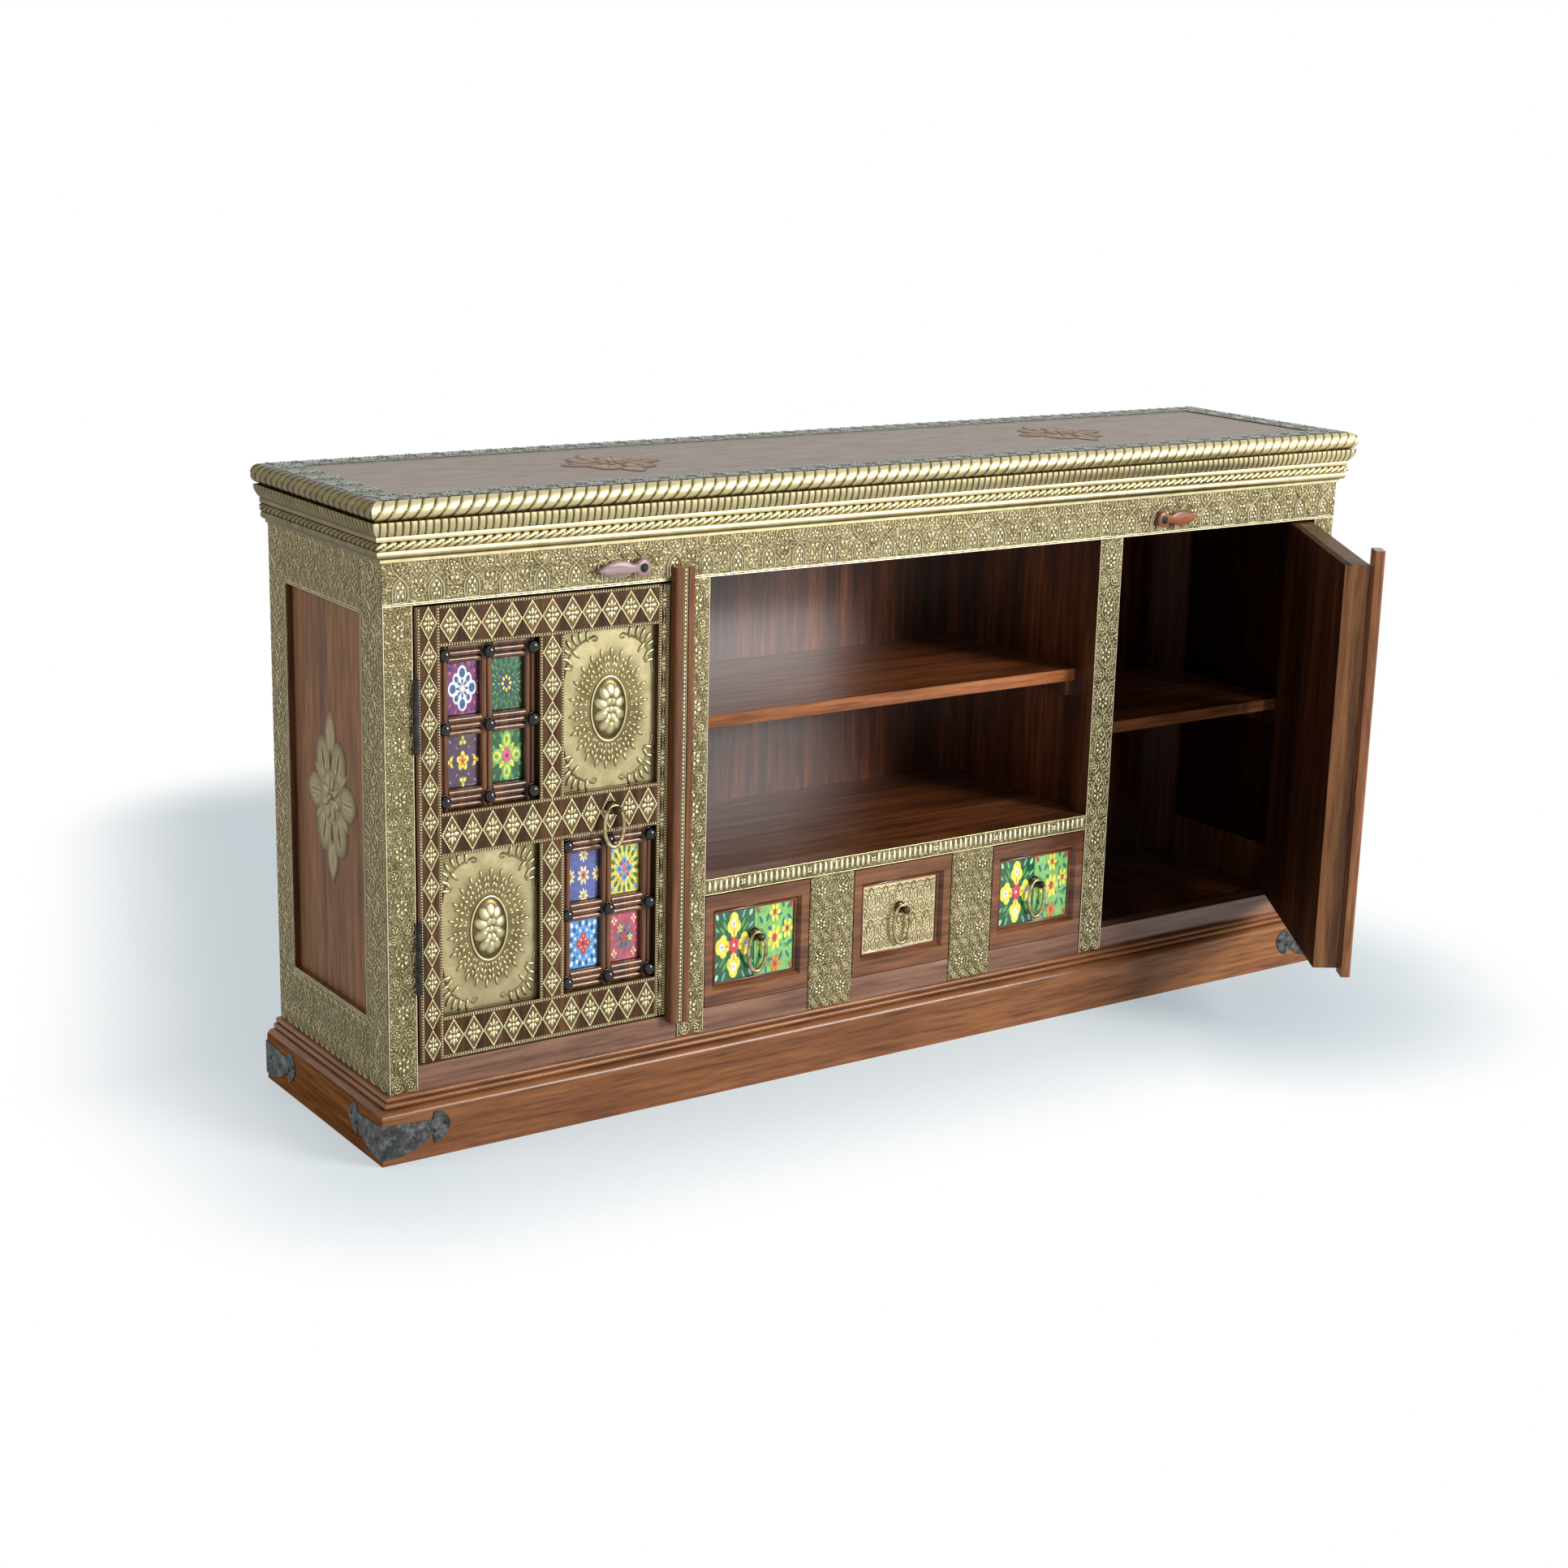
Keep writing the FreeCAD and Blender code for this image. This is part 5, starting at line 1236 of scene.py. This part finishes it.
def makeDrawerPanel():
    t, p = drawerTiles, drawerPanel
    w, h, thick = t["width"], t["height"] / 2, t["thick"] / 2
    sheet = block((-w, -h, -thick), (w, h, thick))
    sheet.data.transform(hung("front", 0, t["middle"], -t["face"] - thick))
    markRise(sheet, 1, p["shine"])
    w, h = w - p["margin"], h - p["margin"]
    pattern = patterned(stileCell, "front", (-w, w), (t["middle"] - h, t["middle"] + h), -t["face"],
                        p["columns"], p["rows"])
    piece = joinAs("middleDrawerPanel", [sheet, pattern])
    finishPiece(piece, "middle_drawer", "diamondBrass", ["middle_drawer_facing"])
    putAway(stileCell["pattern"])


def makeDrawerMouldings():
    t, m = drawerTiles, drawerMoulding
    outline = rectangle(t["width"] - m["inset"], t["height"] / 2 - m["inset"])
    for side, flip in (("left", -1), ("middle", 0), ("right", 1)):
        moulding = wire(outline, m["radius"], True, True, 2)
        moulding.data.transform(hung("front", flip * t["pitch"], t["middle"], m["out"] - t["face"]))
        moulding.name = side + "DrawerMoulding"
        finishPiece(moulding, side + "_drawer", "mouldingWood")


makeDrawerPanel()
makeDrawerMouldings()


# lippings on the lock edges of the doors and the front edges of the shelves; their lighter tone is painted light on
# these edges

lipping = {"ease": 0.35, "in": 0.4, "out": 0.6, "short": 0.3, "thick": 1.0, "shelfHigh": 16.6,
           "shelves": ((0, 315.8, -121.6, 471.2), (-536.5, 200.2, -101.6, 379.2), (536.5, 200.2, -101.6, 379.2))}


def makeLippings():
    d, p = door, lipping
    edge = eased(block((d["right"] - p["in"], d["face"] + p["out"], d["low"] + p["short"]),
                       (d["right"] + p["out"], d["back"], d["high"] - p["short"])), p["ease"])
    edge.name = "DoorLitLipping"
    onBothDoors(edge, "litEdgeWood")
    strips = [eased(block((x - half, y, z), (x + half, y + p["thick"], z + p["shelfHigh"])), p["ease"])
              for x, half, y, z in p["shelves"]]
    finishPiece(joinAs("shelfLitLippings", strips), "carcass", "litShelfEdge")


makeLippings()
print("mouldings and lippings laid")


# turned studs on the crossings of the lattices

studs = {"radius": 7.6, "tall": 8.2, "rise": 11.5, "sunk": 0.72, "collarUp": 1.0, "collarIn": 1,
         "collarRise": 6, "collar": 0.16, "base": -152, "pitch": (58.75, 88.6), "start": (7.5, 12)}


def makeStuds():
    s = studs
    ball = fresh(bpy.ops.mesh.primitive_uv_sphere_add, segments=20, ring_count=12, radius=1)
    for vert in ball.data.vertices:
        vert.co.z = (vert.co.z + s["sunk"]) / (1 + s["sunk"])
    ball.data.transform(sized(s["radius"] * mm, s["tall"] * mm, s["rise"] * mm))
    collar = fresh(bpy.ops.mesh.primitive_torus_add, major_segments=20, minor_segments=8, major_radius=1,
                   minor_radius=s["collar"])
    size = (s["radius"] - s["collarIn"], s["tall"] - s["collarIn"], s["collarRise"])
    collar.data.transform(moved(0, 0, s["collarUp"]) @ sized(*[v * mm for v in size]))
    stud = smooth(joinAs("stud", [ball, collar]), 60)
    placed = []
    for column, row in ((door["columns"][0], door["rows"][1]), (door["columns"][1], door["rows"][0])):
        for i in range(3):
            for j in range(3):
                x, z = column + s["start"][0] + i * s["pitch"][0], row + s["start"][1] + j * s["pitch"][1]
                placed.append(copyTo(stud, hung("front", x, z, -s["base"])))
    putAway(stud)
    onBothDoors(joinAs("DoorStuds", placed), "studBlack", ["door_studs"])


makeStuds()


# ring pulls, thicker at the bottom, and turn buttons

ring = {"halfWidth": 13.6, "halfHeight": 26.6, "thin": 2.0, "thick": 2.9}
button = {"head": 11, "thick": 8.5, "chamfers": ((1.0, 1.0), (1.4, 0.6)), "across": 419, "up": 697.5, "out": 165.2,
          "outline": [(-10, 6.2), (-15, 5.4), (-18.5, 7.4), (-24, 9.6), (-33, 10.4), (-43, 9.2), (-51, 6.6),
                      (-55.5, 4.2), (-57, 2.6), (-60, 2.2), (-62, 0)]}


def ringPull():
    wide, high, tube = ring["halfWidth"], ring["halfHeight"], 0.1
    obj = fresh(bpy.ops.mesh.primitive_torus_add, major_segments=48, minor_segments=12, major_radius=1,
                minor_radius=tube)
    for vert in obj.data.vertices:
        turn = math.atan2(vert.co.y, vert.co.x)
        reach, lift = (math.hypot(vert.co.x, vert.co.y) - 1) / tube, vert.co.z / tube
        thick = ring["thin"] + (ring["thick"] - ring["thin"]) * (1 - math.sin(turn)) / 2
        outward = Vector((math.cos(turn) * high, math.sin(turn) * wide, 0)).normalized()
        path = Vector((math.cos(turn) * wide, math.sin(turn) * high, 0))
        vert.co = (path + outward * reach * thick + Vector((0, 0, lift * thick))) * mm
    return smooth(obj, 60)


def makePulls():
    pattern = ringPull()
    for name in ("left_door", "left_drawer", "middle_drawer", "right_drawer"):
        low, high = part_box(name + "_ring")
        middle = (Vector(low) + Vector(high)) / 2
        pull = copyTo(pattern, Matrix.Translation(middle) @ standing["front"])
        words = name.split("_")
        pull.name = words[0] + words[1].title() + "RingPull"
        if name == "left_door":
            twin = copyTo(pull, openedDoor())
            twin.name = "rightDoorRingPull"
            finishPiece(twin, "right_door_ring", "pullBrass", ["right_door_ring"])
        finishPiece(pull, name + "_ring", "pullBrass", [name + "_ring"])
    putAway(pattern)


def turnButton():  # pointing left, its pivot at the origin
    head = [math.radians(a) for a in range(0, 150, 15)]
    half = [(button["head"] * math.cos(a), button["head"] * math.sin(a)) for a in head] + button["outline"]
    points = half + [(x, -y) for x, y in reversed(half[1:-1])]
    obj = fresh(bpy.ops.mesh.primitive_circle_add, vertices=len(points), radius=1, fill_type="NGON")
    for vert, (x, y) in zip(obj.data.vertices, points):
        vert.co = (x * mm, y * mm, 0)
    editAll(obj)
    bpy.ops.mesh.normals_make_consistent(inside=False)
    side = button["thick"] - sum(deep for wide, deep in button["chamfers"])
    bpy.ops.mesh.extrude_region_move(TRANSFORM_OT_translate={"value": (0, 0, side * mm)})
    for wide, deep in button["chamfers"]:
        bpy.ops.mesh.inset(thickness=wide * mm, depth=deep * mm)
    bpy.ops.mesh.select_all(action="SELECT")
    bpy.ops.mesh.normals_make_consistent(inside=False)
    leaveEdit()
    return smooth(obj, 40)


def makeButtons():
    pattern = turnButton()
    for side, finish, flip in (("left", "mauveButton", 1), ("right", "brownButton", -1)):
        place = hung("front", -button["across"] * flip, button["up"], button["out"])
        piece = copyTo(pattern, place @ sized(flip, 1))
        piece.name = side + "TurnButton"
        finishPiece(piece, side + "_turn_button", finish, [side + "_turn_button"])
    putAway(pattern)


makePulls()
makeButtons()
print("pulls and buttons hung")


# nail heads on the plinth straps

nails = {"spots": ((14, 33), (42, 31), (70, 34), (84, 42)), "size": 6.5, "rise": 1.6, "strap": 1.5}


def makeNails():
    head = dome(nails["size"], nails["size"], nails["rise"], 10, 6)
    wide, front = cabinet["halfWidth"] + cabinet["plinthOut"], cabinet["front"] - cabinet["plinthOut"]
    heads = []
    for along, up in nails["spots"]:
        for side, flip in bothSides:
            heads.append(copyTo(head, hung("front", flip * (wide - along), up, nails["strap"] - front)))
            for y in (front + along, cabinet["back"] - along):
                heads.append(copyTo(head, hung(side, flip * y, up, wide + nails["strap"])))
    putAway(head)
    finishPiece(joinAs("strapNails", heads), "carcass", "blackIron")


makeNails()
print("nails driven")


# floor, light and camera

studio = {
    "floor": shade(236, 242, 246), "floorSize": 60, "floorRough": 0.6, "world": 0.22, "sky": (0.94, 0.97, 1.0, 1),
    # the shadow tint and the right tint are painted shade on the floor near the cabinet and at its right front
    "shadowTint": (0.71, 0.785, 0.825, 1), "nearWhite": 0.6, "fade": 0.36, "shadeMiddle": (0, 0.585, 0),
    "shadeHalf": (0.74, 0.765, 1), "lean": 0.36, "leanFrom": 0.25, "rightMiddle": (0.58, -0.27, 0),
    "rightTint": (0.72, 0.765, 0.785, 1), "rightFade": (0.05, 0.44)}
lamps = {"keyLamp": {"place": (2.5, -4.2, 2.3), "target": (0.1, 0, 0.4), "size": 2.0, "power": 355},
         "fillLamp": {"place": (-4.4, 1.0, 2.2), "target": (-0.7, 0, 0.4), "size": 2.0, "power": 70}}
view = {"yaw": -34.328, "pitch": -14.918, "roll": -1.438, "place": (-2.0187, -2.8264, 1.2560), "lens": 59.62,
        "sensor": 36}


def seenRays(owner):  # what the camera, metal and glass look at
    path = addNode(owner, "ShaderNodeLightPath", {}).outputs
    seen = sums(owner, "MAXIMUM", path["Is Camera Ray"], path["Is Glossy Ray"])
    return sums(owner, "MAXIMUM", seen, path["Is Transmission Ray"])


def mixedBy(owner, factor, first, second, output):
    mixed = addNode(owner, "ShaderNodeMixShader", {0: factor, 1: first.outputs[0], 2: second.outputs[0]})
    feed(owner, owner.node_tree.nodes[output].inputs["Surface"], mixed.outputs[0])


def vectors(finish, how, *values):
    inputs = {i: value for i, value in enumerate(values)}
    return addNode(finish, "ShaderNodeVectorMath", inputs, operation=how).outputs


def fading(finish, value, start, end):
    return addNode(finish, "ShaderNodeMapRange", {"Value": value, "From Min": start, "From Max": end},
                   interpolation_type="SMOOTHSTEP").outputs["Result"]


def makeFloor():  # pale, keeping part of the real shadow near the cabinet, with painted shade near it, and clearing to white away from it
    floor = fresh(bpy.ops.mesh.primitive_plane_add, size=studio["floorSize"])
    floor.name = "studioFloor"
    finish, shader = newFinish("floorWhite", {"Base Color": studio["floor"], "Roughness": studio["floorRough"]})
    spot = laidOut(finish)
    part = addNode(finish, "ShaderNodeSeparateXYZ", {"Vector": spot}).outputs
    behind = sums(finish, "MAXIMUM", sums(finish, "SUBTRACT", part["Y"], studio["leanFrom"]), 0.0)
    across = sums(finish, "SUBTRACT", part["X"], sums(finish, "MULTIPLY", behind, studio["lean"]))
    away = addNode(finish, "ShaderNodeCombineXYZ", {"X": across, "Y": part["Y"]}).outputs["Vector"]
    away = vectors(finish, "SUBTRACT", away, studio["shadeMiddle"])["Vector"]
    away = vectors(finish, "ABSOLUTE", away)["Vector"]
    away = vectors(finish, "SUBTRACT", away, studio["shadeHalf"])["Vector"]
    away = vectors(finish, "MAXIMUM", away, (0, 0, 0))["Vector"]
    far = fading(finish, vectors(finish, "LENGTH", away)["Value"], 0.0, studio["fade"])
    right = vectors(finish, "DISTANCE", spot, studio["rightMiddle"])["Value"]
    right = fading(finish, right, *studio["rightFade"])
    far = sums(finish, "MINIMUM", far, right)
    # painted shade near the cabinet and a darker painted patch at the right front, white further away
    paintedShadeColour = blended(finish, far, studio["shadowTint"], white)
    paintedShadeColour = blended(finish, 1.0, paintedShadeColour, blended(finish, right, studio["rightTint"], white), "MULTIPLY")
    glow = addNode(finish, "ShaderNodeEmission", {"Color": paintedShadeColour, "Strength": 1.0})
    share = sums(finish, "MULTIPLY", seenRays(finish), between(finish, far, studio["nearWhite"], 1.0))
    mixedBy(finish, share, shader, glow, "Material Output")
    floor.data.materials.append(finish)


def makeWorld():
    world = bpy.data.worlds.new("studio")
    bpy.context.scene.world = world
    world.use_nodes = True
    soft = world.node_tree.nodes["Background"]
    soft.inputs["Color"].default_value = studio["sky"]
    soft.inputs["Strength"].default_value = studio["world"]
    plain = addNode(world, "ShaderNodeBackground", {"Color": white})
    mixedBy(world, seenRays(world), soft, plain, "World Output")


def makeLamps():
    for name, looks in lamps.items():
        lamp = fresh(bpy.ops.object.light_add, type="AREA", location=looks["place"])
        lamp.name = name
        lamp.data.size = looks["size"]
        lamp.data.energy = looks["power"]
        aim = Vector(looks["target"]) - Vector(looks["place"])
        lamp.rotation_euler = aim.to_track_quat("-Z", "Y").to_euler()


def makeCamera():
    camera = fresh(bpy.ops.object.camera_add)
    yaw, pitch, roll = (math.radians(view[key]) for key in ("yaw", "pitch", "roll"))
    turn = Matrix.Rotation(-roll, 3, "Y") @ Matrix.Rotation(-pitch, 3, "X") @ Matrix.Rotation(-yaw, 3, "Z")
    right, ahead, up = turn
    axes = Matrix((right, up, -ahead)).transposed().to_4x4()
    camera.matrix_world = Matrix.Translation(view["place"]) @ axes
    camera.data.lens = view["lens"]
    camera.data.sensor_width = view["sensor"]
    bpy.context.scene.camera = camera


makeFloor()
makeWorld()
makeLamps()
makeCamera()
bpy.context.scene.view_settings.view_transform = "Standard"
print("studio set")
